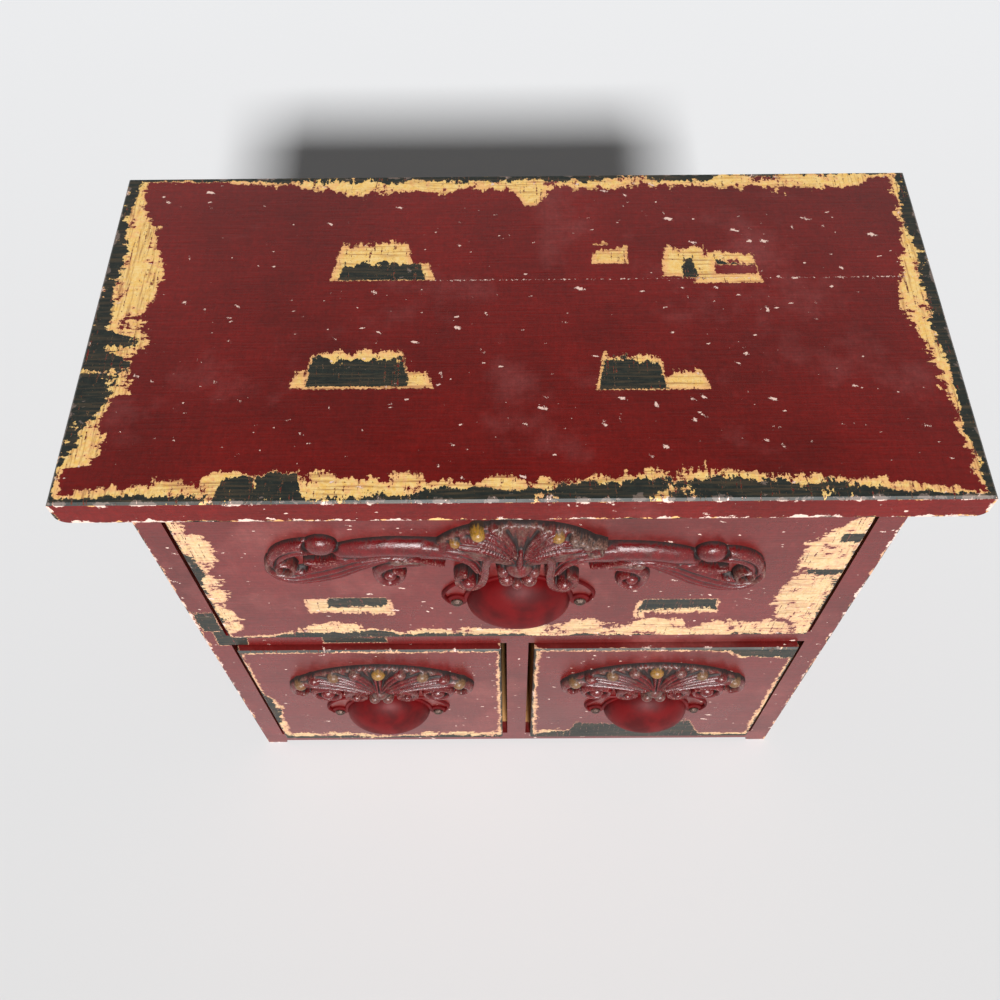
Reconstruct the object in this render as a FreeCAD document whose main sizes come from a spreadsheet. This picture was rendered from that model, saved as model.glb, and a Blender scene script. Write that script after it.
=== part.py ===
# Small two-over-one drawer chest for a desk top, painted softwood with carved drawer crests.
# Millimetres, +Z up, +X to the viewer's right, the drawers open towards -Y.
# Origin: on the table top, under the middle of the chest and the cups that stand out of it.
import FreeCAD, Part
import Sketcher
import math
import os

from FreeCAD import Placement, Rotation, Vector

doc = FreeCAD.newDocument("drawer_chest")

# Driving sizes: name, value in millimetres (or degrees), and what it sets.
SIZES = [
    ("top_thickness", 11.5, "thickness of the top board"),
    ("front_overhang", 14.0, "how far the top stands out in front of the case"),
    ("side_overhang", 14.0, "how far the top stands out beside the case, each side"),
    ("front_plank_depth", 93.2, "width of the front one of the two planks of the top"),
    ("top_end_radius", 4.0, "rounding of the lower arris at the ends of the top"),
    ("arris", 0.8, "eased edges of the planks and fronts"),
    ("case_width", 272.0, "case over its sides"),
    ("case_depth", 133.6, "case from front edge to back"),
    ("case_height", 266.8, "table to the underside of the top"),
    ("side_thickness", 10.0, "case side"),
    ("shelf_thickness", 10.0, "shelf under the wide drawer"),
    ("shelf_underside", 134.4, "table to the underside of the shelf"),
    ("bottom_thickness", 10.0, "case bottom"),
    ("bottom_lift", 3.3, "table to the underside of the case bottom"),
    ("divider_thickness", 9.6, "upright between the two small drawers"),
    ("housing_depth", 3.0, "housings in the sides for shelf and bottom"),
    ("housing_stop", 8.0, "housings stop this far behind the front edge"),
    ("divider_tongue", 2.0, "divider let into shelf and bottom"),
    ("back_thickness", 4.0, "back panel"),
    ("back_rabbet", 5.0, "rabbet of the back panel in each side"),
    ("front_thickness", 10.0, "drawer front"),
    ("wide_proud", 2.0, "wide drawer's front stands out of the case"),
    ("small_proud", 3.0, "small drawers' fronts stand out of the case"),
    ("wide_side_gap", 2.2, "play beside the wide drawer, each side"),
    ("small_side_gap", 2.6, "play beside a small drawer, each side"),
    ("front_gap", 1.4, "play above and below every front"),
    ("box_stock", 6.0, "drawer box sides and back"),
    ("box_height", 98.0, "drawer box sides"),
    ("box_bottom", 3.0, "drawer box bottom"),
    ("box_groove", 3.0, "depth of the grooves that hold the box bottom"),
    ("box_groove_height", 5.0, "lower edge of the box side to its groove"),
    ("front_rabbet", 5.0, "box sides let into the ends of the front"),
    ("runner_gap", 0.3, "box sides over the board that they slide on"),
    ("stop_gap", 0.3, "closed drawer box to the back panel"),
    ("cup_radius", 20.5, "cup pull, half its width"),
    ("cup_projection", 13.2, "cup pull, standing out of the front"),
    ("cup_wall", 1.6, "wall of the cup"),
    ("flange_width", 1.4, "flat rim around the cup"),
    ("flange_thickness", 1.2, "thickness of the rim and ears"),
    ("ear_place", 24.4, "middle of the pull to its screw"),
    ("ear_drop", 4.2, "ear below the rim's height, round its screw"),
    ("ear_arm_centre", 17.5, "middle of the pull to the centre of the ear's arm"),
    ("ear_arm_radius", 11.6, "outer radius of the ear's arm"),
    ("ear_arm_width", 1.6, "raised bead along the arm"),
    ("ear_arm_height", 2.2, "height of that bead"),
    ("screw_radius", 1.2, "pull screw's shank"),
    ("screw_play", 0.1, "play round the shank"),
    ("screw_bite", 7.0, "how far the screw goes into the front"),
    ("screw_head_radius", 2.4, "round head"),
    ("screw_head_height", 1.5, "round head"),
    ("screw_slot_width", 0.8, "slot across the head"),
    ("screw_slot_depth", 0.7, "slot across the head"),
    ("wide_rim_height", 37.5, "lower edge of the wide front to its cup's rim"),
    ("small_rim_height", 45.3, "lower edge of a small front to its cup's rim"),
    ("small_pull_shift", 1.8, "small fronts' crests and cups, off centre towards the divider"),
    ("swag_span", 190.0, "carved swag, end to end"),
    ("swag_relief", 11.0, "highest point of the swag"),
    ("swag_height", 79.2, "lower edge of the wide front to the middle of the swag"),
    ("swag_tilt", 3.0, "the swag is fixed with its right end this many degrees low"),
    ("crest_span", 84.0, "carved crest of a small drawer, end to end"),
    ("crest_relief", 11.0, "highest point of the crest"),
    ("crest_height", 83.3, "lower edge of a small front to the middle of the crest"),
]

sheet = doc.addObject("Spreadsheet::Sheet", "Sizes")
size = {}
for row, (alias, value, note) in enumerate(SIZES, start=1):
    sheet.set(f"A{row}", alias)
    sheet.set(f"B{row}", str(value))
    sheet.set(f"C{row}", note)
    sheet.setAlias(f"B{row}", alias)
    size[alias] = value
doc.recompute()

# Planes and distances that several pieces share, as formulas on the sheet.
FRONT_REACH = "max(Sizes.front_overhang; Sizes.small_proud + Sizes.cup_projection)"
CASE_BACK = f"((Sizes.case_depth + {FRONT_REACH}) / 2)"
CASE_FRONT = f"({CASE_BACK} - Sizes.case_depth)"
INNER_HALF = "(Sizes.case_width / 2 - Sizes.side_thickness)"
INNER_DEPTH = "(Sizes.case_depth - Sizes.back_thickness)"
TOP_LENGTH = "(Sizes.case_width + 2 * Sizes.side_overhang)"
SHELF_TOP = "(Sizes.shelf_underside + Sizes.shelf_thickness)"
BOTTOM_TOP = "(Sizes.bottom_lift + Sizes.bottom_thickness)"

pieces = []


# Helpers: each size or place is a formula on the sheet.
def place(thing, x="0", y="0", z="0"):
    """Put an object's origin at x, y, z."""
    for axis, formula in zip("xyz", (x, y, z)):
        thing.setExpression(f"Placement.Base.{axis}", formula)


def new_body(name, x="0", y="0", z="0"):
    """A body for one piece, with its own origin at x, y, z in the chest."""
    body = doc.addObject("PartDesign::Body", name)
    body.Label = name
    place(body, x, y, z)
    pieces.append(body)
    return body


def sketch_on(body, plane, name):
    """An empty sketch on one of the body's own origin planes."""
    sketch = body.newObject("Sketcher::SketchObject", name)
    support = [part for part in body.Origin.OriginFeatures if part.Role == plane][0]
    sketch.AttachmentSupport = (support, [""])
    sketch.MapMode = "FlatFace"
    return sketch


def polygon(sketch, corners):
    """A closed outline of straight lines; each corner is a pair of formulas (across, up)."""
    count = len(corners)
    for i in range(count):
        turn = 2 * math.pi * i / count
        after = 2 * math.pi * (i + 1) / count
        start = Vector(10 * math.cos(turn), 10 * math.sin(turn), 0)
        end = Vector(10 * math.cos(after), 10 * math.sin(after), 0)
        sketch.addGeometry(Part.LineSegment(start, end), False)
    for i in range(count):
        sketch.addConstraint(Sketcher.Constraint("Coincident", i, 2, (i + 1) % count, 1))
    for i, (across, up) in enumerate(corners):
        for kind, formula in (("DistanceX", across), ("DistanceY", up)):
            index = sketch.addConstraint(Sketcher.Constraint(kind, -1, 1, i, 1, 1.0))
            sketch.setExpression(f"Constraints[{index}]", formula)


def board(name, corner, dims):
    """A planed board: its outline in the XY plane, padded to its height."""
    body = new_body(name, *corner)
    length, depth, height = dims
    sketch = sketch_on(body, "XY_Plane", f"{name}_outline")
    polygon(sketch, [("0", "0"), (length, "0"), (length, depth), ("0", depth)])
    pad = body.newObject("PartDesign::Pad", f"{name}_pad")
    pad.Profile = sketch
    pad.setExpression("Length", height)
    return body


def cut_box(body, name, corner, dims):
    """A housing, rabbet, notch or groove: a box taken out, placed from the board's corner."""
    box = body.newObject("PartDesign::SubtractiveBox", f"{body.Name}_{name}")
    place(box, *corner)
    for key, formula in zip(("Length", "Width", "Height"), dims):
        box.setExpression(key, formula)
    return box


def cut_hole(body, name, x, z, radius, depth, y="0"):
    """A round hole along +Y, from y on."""
    hole = body.newObject("PartDesign::SubtractiveCylinder", f"{body.Name}_{name}")
    hole.setExpression("Radius", radius)
    hole.setExpression("Height", depth)
    hole.Placement = Placement(Vector(0, 0, 0), Rotation(Vector(1, 0, 0), -90))
    place(hole, x, y, z)
    return hole


def edges_of(feature, test):
    """Names of the feature's straight edges whose middle and direction pass a test."""
    names = []
    for i, edge in enumerate(feature.Shape.Edges, start=1):
        if len(edge.Vertexes) < 2:
            continue
        start, end = (vertex.Point for vertex in edge.Vertexes)
        if test((start + end) * 0.5, (end - start).normalize()):
            names.append(f"Edge{i}")
    return names


def round_edges(body, name, radius, test):
    """Round the edges that pass the test."""
    doc.recompute()
    base = body.Tip
    fillet = body.newObject("PartDesign::Fillet", f"{body.Name}_{name}")
    fillet.Base = (base, edges_of(base, test))
    fillet.setExpression("Radius", radius)
    return fillet


def plane_edges(body, name, width, test):
    """Take the arris off the edges that pass the test."""
    doc.recompute()
    base = body.Tip
    chamfer = body.newObject("PartDesign::Chamfer", f"{body.Name}_{name}")
    chamfer.Base = (base, edges_of(base, test))
    chamfer.setExpression("Size", width)
    return chamfer


def near(value, target):
    """True where two lengths agree."""
    return abs(value - target) < 0.01


# Case: sides, shelf, bottom, divider and back.
def case_side(name, hand):
    """A case side, with stopped housings inside and a rabbet at the back; hand is -1 left, 1 right."""
    left = "(-Sizes.case_width / 2)" if hand < 0 else INNER_HALF
    body = board(name, (left, CASE_FRONT, "0"),
                 ("Sizes.side_thickness", "Sizes.case_depth", "Sizes.case_height"))
    housing_x = "(Sizes.side_thickness - Sizes.housing_depth)" if hand < 0 else "0"
    rabbet_x = "(Sizes.side_thickness - Sizes.back_rabbet)" if hand < 0 else "0"
    for board_name, underside in (("shelf", "Sizes.shelf_underside"), ("bottom", "Sizes.bottom_lift")):
        cut_box(body, f"{board_name}_housing", (housing_x, "Sizes.housing_stop", underside),
                ("Sizes.housing_depth", "Sizes.case_depth - Sizes.housing_stop",
                 f"Sizes.{board_name}_thickness"))
    cut_box(body, "back_rabbet", (rabbet_x, INNER_DEPTH, "0"),
            ("Sizes.back_rabbet", "Sizes.back_thickness", "Sizes.case_height"))
    return body


def housed_board(name, underside, thickness, divider_side):
    """Shelf or bottom: its ends go into the sides, and one face has the divider's housing."""
    reach = f"({INNER_HALF} + Sizes.housing_depth)"
    body = board(name, (f"-{reach}", CASE_FRONT, underside), (f"2 * {reach}", INNER_DEPTH, thickness))
    for end, x in (("left", "0"), ("right", f"2 * {reach} - Sizes.housing_depth")):
        cut_box(body, f"{end}_notch", (x, "0", "0"),
                ("Sizes.housing_depth", "Sizes.housing_stop", thickness))
    z = f"{thickness} - Sizes.divider_tongue" if divider_side == "top" else "0"
    cut_box(body, "divider_housing",
            (f"{reach} - Sizes.divider_thickness / 2", "Sizes.housing_stop", z),
            ("Sizes.divider_thickness", f"{INNER_DEPTH} - Sizes.housing_stop", "Sizes.divider_tongue"))
    return body


def case_divider():
    """The upright between the small drawers, tongued into shelf and bottom."""
    height = f"(Sizes.shelf_underside - {BOTTOM_TOP} + 2 * Sizes.divider_tongue)"
    foot = f"{BOTTOM_TOP} - Sizes.divider_tongue"
    body = board("divider", ("-Sizes.divider_thickness / 2", CASE_FRONT, foot),
                 ("Sizes.divider_thickness", INNER_DEPTH, height))
    for end, z in (("lower", "0"), ("upper", f"{height} - Sizes.divider_tongue")):
        cut_box(body, f"{end}_notch", ("0", "0", z),
                ("Sizes.divider_thickness", "Sizes.housing_stop", "Sizes.divider_tongue"))
    return body


case_side("case_side_left", -1)
case_side("case_side_right", 1)
housed_board("shelf", "Sizes.shelf_underside", "Sizes.shelf_thickness", "underside")
housed_board("case_bottom", "Sizes.bottom_lift", "Sizes.bottom_thickness", "top")
case_divider()
board("back_panel", (f"-{INNER_HALF} - Sizes.back_rabbet", f"{CASE_BACK} - Sizes.back_thickness", "0"),
      (f"2 * ({INNER_HALF} + Sizes.back_rabbet)", "Sizes.back_thickness", "Sizes.case_height"))


# Top: two planks, edge to edge, with eased upper arrises and rounded lower ends.
def top_plank(name, y, depth, outer_y):
    """One plank; outer_y is the value of its outer long edge, which is eased as its ends are."""
    body = board(name, (f"-{TOP_LENGTH} / 2", y, "Sizes.case_height"),
                 (TOP_LENGTH, depth, "Sizes.top_thickness"))
    length = size["case_width"] + 2 * size["side_overhang"]

    def lower_end(middle, along):
        at_end = near(middle.x, 0) or near(middle.x, length)
        return at_end and near(middle.z, 0) and near(abs(along.y), 1)

    def upper_arris(middle, along):
        at_end = near(middle.x, 0) or near(middle.x, length)
        return near(middle.z, size["top_thickness"]) and (at_end or near(middle.y, outer_y))

    round_edges(body, "lower_ends", "Sizes.top_end_radius", lower_end)
    plane_edges(body, "upper_arris", "Sizes.arris", upper_arris)
    return body


TOP_FRONT = f"({CASE_FRONT} - Sizes.front_overhang)"
rear_depth = size["case_depth"] + size["front_overhang"] - size["front_plank_depth"]
top_plank("top_front_plank", TOP_FRONT, "Sizes.front_plank_depth", 0)
top_plank("top_rear_plank", f"{TOP_FRONT} + Sizes.front_plank_depth",
          "Sizes.case_depth + Sizes.front_overhang - Sizes.front_plank_depth", rear_depth)


# Free forms are faceted: flat faces between rings of as many corners each.
def facet(corners):
    """One flat face."""
    return Part.Face(Part.makePolygon(corners + corners[:1]))


def faceted_solid(rings, cap=None):
    """A closed solid from rings of as many corners each, from the foot to the ridge, and its cap."""
    faces = [facet(rings[0])] + (cap or [facet(rings[-1])])
    for lower, upper in zip(rings, rings[1:]):
        for i in range(len(lower)):
            j = (i + 1) % len(lower)
            faces.append(facet([lower[i], lower[j], upper[j]]))
            faces.append(facet([lower[i], upper[j], upper[i]]))
    solid = Part.makeSolid(Part.makeShell(faces))
    return solid if solid.Volume > 0 else solid.reversed()


# Cup pull: half a dome, open below for the fingers, with a flat rim and two ears that take the screws.
CUP_SIDES = 18
CUP_LEVELS = (0, 20, 38, 54, 68, 80)
ARM_STEPS = 6
EYE_STEP = 30
SCREW_SIDES = 12


def half_disc(radius, level):
    """Corners of the upper half of a disc round the pull's middle, level in front of the front."""
    angles = [math.pi * i / CUP_SIDES for i in range(CUP_SIDES + 1)]
    return [Vector(radius * math.cos(angle), -level, radius * math.sin(angle)) for angle in angles]


def dome(radius, rise):
    """A quarter of an ellipsoid, from the front's face out to its crown."""
    levels = [math.radians(angle) for angle in CUP_LEVELS]
    return faceted_solid([half_disc(radius * math.cos(angle), rise * math.sin(angle)) for angle in levels])


def ear_path(hand, inset, sweep):
    """Along the ear's edge: down the arm's arc to the rim's height, then sweep degrees round the screw."""
    across, path = "(Sizes.ear_arm_centre + Sizes.ear_arm_radius - Sizes.ear_place - INSET)", []
    for i in range(ARM_STEPS + 1):
        angle = 90 - 90 * i / ARM_STEPS
        arm = "(Sizes.ear_arm_radius - INSET)"
        path.append((f"Sizes.ear_arm_centre + {arm} * cos({angle} deg)", f"{arm} * sin({angle} deg)"))
    for angle in range(EYE_STEP, sweep + 1, EYE_STEP):
        path.append((f"Sizes.ear_place + {across} * cos({angle} deg)",
                     f"-(Sizes.ear_drop - INSET) * sin({angle} deg)"))
    return [(f"{hand} * ({x})".replace("INSET", inset), z.replace("INSET", inset)) for x, z in path]


def flat_pad(body, name, outline, height):
    """A flat piece of the pull, padded outwards from the front's face."""
    sketch = sketch_on(body, "XZ_Plane", f"{body.Name}_{name}_outline")
    polygon(sketch, outline)
    pad = body.newObject("PartDesign::Pad", f"{body.Name}_{name}")
    pad.Profile = sketch
    pad.setExpression("Length", height)
    return pad


def prism(body, name, sides, radius, height, x, y="0"):
    """A short round bar, drawn with flat sides, that stands out towards -Y from y."""
    bar = body.newObject("PartDesign::AdditivePrism", f"{body.Name}_{name}")
    bar.Polygon = sides
    bar.setExpression("Circumradius", radius)
    bar.setExpression("Height", height)
    bar.Placement = Placement(Vector(0, 0, 0), Rotation(Vector(1, 0, 0), 90))
    place(bar, x, y, "0")
    return bar


def cup_pull(name, x, y, z):
    """The pull; its origin is on the front's face, in the middle of the rim."""
    cup = doc.addObject("Part::Feature", f"{name}_cup")
    outer = dome(size["cup_radius"], size["cup_projection"])
    inner = dome(size["cup_radius"] - size["cup_wall"], size["cup_projection"] - size["cup_wall"])
    cup.Shape = outer.cut(inner).removeSplitter()
    body = new_body(name, x, y, z)
    body.BaseFeature = cup
    rim = []
    for radius, order in (("(Sizes.cup_radius + Sizes.flange_width)", range(CUP_SIDES + 1)),
                          ("(Sizes.cup_radius - Sizes.cup_wall / 2)", range(CUP_SIDES, -1, -1))):
        for i in order:
            angle = 180 * i / CUP_SIDES
            rim.append((f"{radius} * cos({angle} deg)", f"{radius} * sin({angle} deg)"))
    flat_pad(body, "flange", rim, "Sizes.flange_thickness")
    for ear, hand in (("left", -1), ("right", 1)):
        bead = ear_path(hand, "0", 90) + ear_path(hand, "Sizes.ear_arm_width", 90)[::-1]
        flat_pad(body, f"{ear}_ear", ear_path(hand, "0", 180), "Sizes.flange_thickness")
        flat_pad(body, f"{ear}_arm", bead, "Sizes.ear_arm_height")
        cut_hole(body, f"{ear}_hole", f"{hand} * Sizes.ear_place", "0",
                 "Sizes.screw_radius + Sizes.screw_play", "Sizes.flange_thickness",
                 "-Sizes.flange_thickness")
    return body


def pull_screw(name, x, y, z):
    """A slotted round-head screw; its origin is under the head, which faces -Y."""
    body = doc.addObject("PartDesign::Body", name)
    place(body, x, y, z)
    prism(body, "shank", SCREW_SIDES, "Sizes.screw_radius", "Sizes.flange_thickness + Sizes.screw_bite",
          "0", "Sizes.flange_thickness + Sizes.screw_bite")
    prism(body, "head", SCREW_SIDES, "Sizes.screw_head_radius", "Sizes.screw_head_height", "0")

    def crown(point, along):
        return near(point.y, -size["screw_head_height"])

    plane_edges(body, "crown", "Sizes.screw_head_height * 0.6", crown)
    cut_box(body, "slot",
            ("-Sizes.screw_head_radius", "-Sizes.screw_head_height", "-Sizes.screw_slot_width / 2"),
            ("2 * Sizes.screw_head_radius", "Sizes.screw_slot_depth", "Sizes.screw_slot_width"))
    return body


def pull_screws(name, x, y, z):
    """The two screws of a pull, through its ears into the front; y is the front's face."""
    pair = doc.addObject("Part::Compound", name)
    pair.Label = name
    ear_face = f"{y} - Sizes.flange_thickness"
    pair.Links = [pull_screw(f"{name}_{ear}", f"{x} + {hand} * Sizes.ear_place", ear_face, z)
                  for ear, hand in (("left", -1), ("right", 1))]
    pieces.append(pair)
    return pair


# Carving. Every scroll, leaf and rib is one stroke: a smooth path with a width along it, raised
# in flat facets from a broad foot to a narrow ridge, as a gouge leaves it.
FACETS = [(0.0, 1.0), (0.6, 0.84), (1.0, 0.3)]
BUTTON_SIDES = 10
STATIONS_PER_SPAN = 2


def smooth_path(points, stations):
    """Points, tangents and normals at even steps along a smooth curve through the given points."""
    curve = Part.BSplineCurve()
    curve.interpolate([Vector(x, 0, z) for x, z in points])
    first, last = curve.FirstParameter, curve.LastParameter
    path = []
    for i in range(stations + 1):
        at = first + (last - first) * i / stations
        tangent = Vector(*curve.tangent(at)[0]).normalize()
        path.append((curve.value(at), tangent, Vector(-tangent.z, 0, tangent.x)))
    return path


def along_path(values, share):
    """A value at a share of the path, between the values given at even steps along it."""
    at = share * (len(values) - 1)
    before = min(int(at), len(values) - 2)
    return values[before] + (values[before + 1] - values[before]) * (at - before)


def stroke(points, half_widths, heights, stretch=1.0):
    """A carved stroke on the plane y = 0, rising towards -Y to the heights given along it."""
    stations = STATIONS_PER_SPAN * (len(points) - 1)
    path = smooth_path([(x * stretch, z * stretch) for x, z in points], stations)
    rings = []
    for rise, share in FACETS:
        left, right = [], []
        for i, (centre, tangent, normal) in enumerate(path):
            half = along_path(half_widths, i / stations) * share * stretch
            ridge = centre + Vector(0, -rise * along_path(heights, i / stations), 0)
            left.append(ridge + normal * half)
            right.append(ridge - normal * half)
            if i == 0:
                start_tip = ridge - tangent * half * 0.7
            end_tip = ridge + tangent * half * 0.7
        rings.append([start_tip] + left + [end_tip] + right[::-1])
    cap = [facet([start_tip, right[0], left[0]]), facet([end_tip, left[-1], right[-1]])]
    for i in range(stations):
        cap.append(facet([left[i], right[i], right[i + 1]]))
        cap.append(facet([left[i], right[i + 1], left[i + 1]]))
    return faceted_solid(rings, cap)


def plate(outline, levels, foot, stretch=1.0):
    """A carved plate: its outline at y = 0, drawn in towards its foot at each level (height, share)."""
    rings = []
    for height, share in levels:
        rings.append([Vector((foot[0] + (x - foot[0]) * share) * stretch, -height,
                             (foot[1] + (z - foot[1]) * share) * stretch) for x, z in outline])
    return faceted_solid(rings)


def button(centre, radius, height, stretch=1.0):
    """A domed boss: berries, rosettes and the knot."""
    x, z = centre[0] * stretch, centre[1] * stretch
    rings = []
    for rise, share in FACETS:
        ring = []
        for i in range(BUTTON_SIDES):
            angle = 2 * math.pi * (i + 0.5) / BUTTON_SIDES
            reach = radius * share * stretch
            ring.append(Vector(x + reach * math.cos(angle), -rise * height, z + reach * math.sin(angle)))
        rings.append(ring)
    return faceted_solid(rings)


def mirrored(points):
    """The same path on the other side of the middle."""
    return [(-x, z) for x, z in points]


def carve(pattern, stretch, relief):
    """Both halves of a carving in one solid."""
    outline = pattern["plate"] + mirrored(pattern["plate"])[::-1]
    levels = [(height * relief, share) for height, share in pattern["plate_levels"]]
    solids = [plate(outline, levels, pattern["foot"], stretch)]
    for path, widths, heights in pattern["strokes"]:
        rises = [height * relief for height in heights]
        solids.append(stroke(path, widths, rises, stretch))
        if path[0][0] != 0:
            solids.append(stroke(mirrored(path), widths, rises, stretch))
    for (x, z), radius, height in pattern["buttons"]:
        for side in {x, -x}:
            solids.append(button((side, z), radius, height * relief, stretch))
    return solids[0].multiFuse(solids[1:]).removeSplitter()


# The swag of the wide drawer, right half: path, half widths and heights along it, the heights as
# shares of the relief. The plate under the palmette rises from its rim to the foot of the ribs.
SWAG = {
    "drawn_span": 190.0,
    "foot": (0, 1.0),
    "plate": [(0.6, 20.8), (9, 20.3), (16.5, 18.3), (24.3, 13.6), (30.6, 6.4), (31.5, 1.2), (20, -2.2),
              (7, -4.4)],
    "plate_levels": [(0.0, 1.0), (0.40, 0.985), (0.46, 0.94), (0.66, 0.3)],
    "strokes": [
        # arm from the palmette to the rosette
        ([(22, 2.4), (36, 2.8), (47, 2.9), (57, 1.0), (67, -1.5)], [5.0, 5.2, 5.4, 5.2, 4.6],
         [0.5, 0.47, 0.46, 0.45, 0.40]),
        # end scroll: the upper leaf runs out and curls in
        ([(68, 0.5), (77, 1.6), (85.5, -1.0), (89.8, -6.5), (90.2, -12.5), (86.8, -15.6), (83.4, -13.4),
          (84.6, -10.6)], [4.6, 4.3, 4.0, 3.0, 2.4, 2.0, 1.6, 1.1],
         [0.38, 0.4, 0.41, 0.42, 0.42, 0.42, 0.41, 0.4]),
        # end scroll: the lower leaf sweeps back under it
        ([(47, -3.5), (57, -9.2), (68, -14.8), (79, -18.6), (88, -19.2), (92.4, -14.6)],
         [2.6, 4.6, 6.4, 5.9, 4.4, 2.2], [0.34, 0.38, 0.4, 0.39, 0.37, 0.32]),
        # curl that hangs under the arm
        ([(36.5, -6.4), (42.5, -7.6), (48.6, -10.6), (51.4, -16.6), (50.4, -22.6), (46.8, -24.8),
          (43.4, -21.4), (43.6, -16.6), (46.4, -15.4)], [2.0, 2.2, 2.3, 2.2, 2.0, 1.9, 1.7, 1.4, 1.0],
         [0.33, 0.34, 0.35, 0.35, 0.35, 0.34, 0.34, 0.33, 0.3]),
        # small leaf beside the curl
        ([(51, -4.4), (54.4, -8.0), (54.2, -12.4)], [2.4, 2.4, 1.2], [0.3, 0.3, 0.22]),
        # root of the arm, from the lower volute
        ([(13.0, -8.6), (16.8, -1.6), (23.5, 2.2), (33, 2.4)], [2.4, 3.0, 3.6, 4.0], [0.6, 0.6, 0.55, 0.5]),
        # horseshoe edge that ends in the lower volute
        ([(2.8, 3.6), (5.6, 6.2), (9.2, 4.6), (11.2, -0.8), (11.4, -8.0), (13.4, -15.2), (17.6, -18.6),
          (20.9, -15.4), (19.4, -11.4)], [1.3, 1.6, 1.7, 1.8, 1.9, 2.0, 1.9, 1.7, 1.3],
         [0.84, 0.86, 0.82, 0.78, 0.74, 0.68, 0.66, 0.64, 0.62]),
        # ribs of the palmette
        ([(0.9, 8.6), (3.4, 13.6), (8.0, 18.3)], [1.2, 2.0, 1.7], [0.76, 0.66, 0.52]),
        ([(1.8, 7.8), (6.4, 12.4), (13.0, 16.0)], [1.3, 2.1, 1.8], [0.76, 0.66, 0.52]),
        ([(3.0, 7.4), (9.6, 10.2), (19.6, 11.6)], [1.4, 2.3, 2.0], [0.76, 0.66, 0.52]),
        ([(3.8, 7.0), (11.6, 7.2), (25.6, 6.8)], [1.4, 2.3, 2.4], [0.74, 0.62, 0.5]),
        # stem between the horseshoes
        ([(0, -3), (0, 3), (0, 9)], [2.6, 2.4, 1.6], [0.86, 0.86, 0.76]),
    ],
    "buttons": [((69.3, 3.0), 6.0, 0.38), ((15.6, 18.4), 2.4, 0.5), ((22.4, 13.4), 2.2, 0.46),
                ((28.0, 7.2), 2.9, 0.46), ((18.4, -13.2), 2.4, 0.68), ((0, -1.4), 4.2, 0.92),
                ((3.2, -6.8), 3.0, 0.96)],
}

# The crest of a small drawer, right half.
CREST = {
    "drawn_span": 84.0,
    "foot": (0, 3.0),
    "plate": [(1.0, 20.3), (9, 19.4), (18, 17.2), (26.5, 13.6), (34.6, 8.6), (39.6, 3.4), (28.5, 0.4),
              (8, -2.4)],
    "plate_levels": [(0.0, 1.0), (0.40, 0.985), (0.46, 0.94), (0.62, 0.3)],
    "strokes": [
        # outer leaf of the arch, curled in at its end
        ([(27, 8.8), (35.6, 5.4), (40.2, 0.2), (40.4, -5.6), (36.9, -8.2), (34.2, -5.6)],
         [3.0, 2.9, 2.4, 2.0, 1.7, 1.1], [0.44, 0.42, 0.38, 0.36, 0.36, 0.34]),
        # radial leaves
        ([(1.6, 7.4), (4.6, 11.6), (8.0, 15.6)], [1.3, 2.3, 1.8], [0.74, 0.66, 0.54]),
        ([(2.8, 6.4), (9.2, 10.2), (16.4, 13.4)], [1.4, 2.6, 2.0], [0.74, 0.64, 0.52]),
        ([(4.0, 4.6), (13.6, 7.4), (25.0, 8.6)], [1.4, 2.8, 2.2], [0.72, 0.62, 0.5]),
        # curled bud that hangs from the arch
        ([(16.5, 3.4), (26.2, 1.0), (31.8, -4.2), (30.2, -10.4), (25.0, -12.0), (22.0, -8.0), (25.0, -5.0)],
         [2.2, 2.6, 2.5, 2.2, 2.0, 1.7, 1.2], [0.48, 0.44, 0.4, 0.38, 0.38, 0.37, 0.35]),
        # lower volute beside the knot
        ([(3.6, 3.0), (9.2, 2.6), (14.6, -1.6), (14.8, -7.8), (10.4, -10.2), (8.0, -6.6), (10.8, -4.4)],
         [1.7, 2.1, 2.2, 2.0, 1.8, 1.5, 1.1], [0.84, 0.76, 0.66, 0.62, 0.6, 0.6, 0.6]),
        # foot of the ribs
        ([(0, 1), (0, 8), (0, 15.4)], [2.2, 2.4, 2.6], [0.84, 0.72, 0.56]),
    ],
    "buttons": [((0, 19.0), 2.8, 0.5), ((12.6, 16.8), 2.2, 0.48), ((21.6, 13.2), 2.2, 0.46),
                ((30.2, 8.2), 2.2, 0.44), ((0, 2.4), 3.5, 0.88), ((2.4, -2.8), 2.7, 1.0)],
}


def carving(name, shape, x, y, z, tilt=0.0):
    """A finished carving, glued on the plane y; a positive tilt lowers its right end."""
    piece = doc.addObject("Part::Feature", name)
    piece.Label = name
    piece.Shape = shape
    piece.Placement = Placement(Vector(0, 0, 0), Rotation(Vector(0, 1, 0), tilt))
    place(piece, x, y, z)
    pieces.append(piece)
    return piece


swag_shape = carve(SWAG, size["swag_span"] / SWAG["drawn_span"], size["swag_relief"])
crest_shape = carve(CREST, size["crest_span"] / CREST["drawn_span"], size["crest_relief"])


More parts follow.
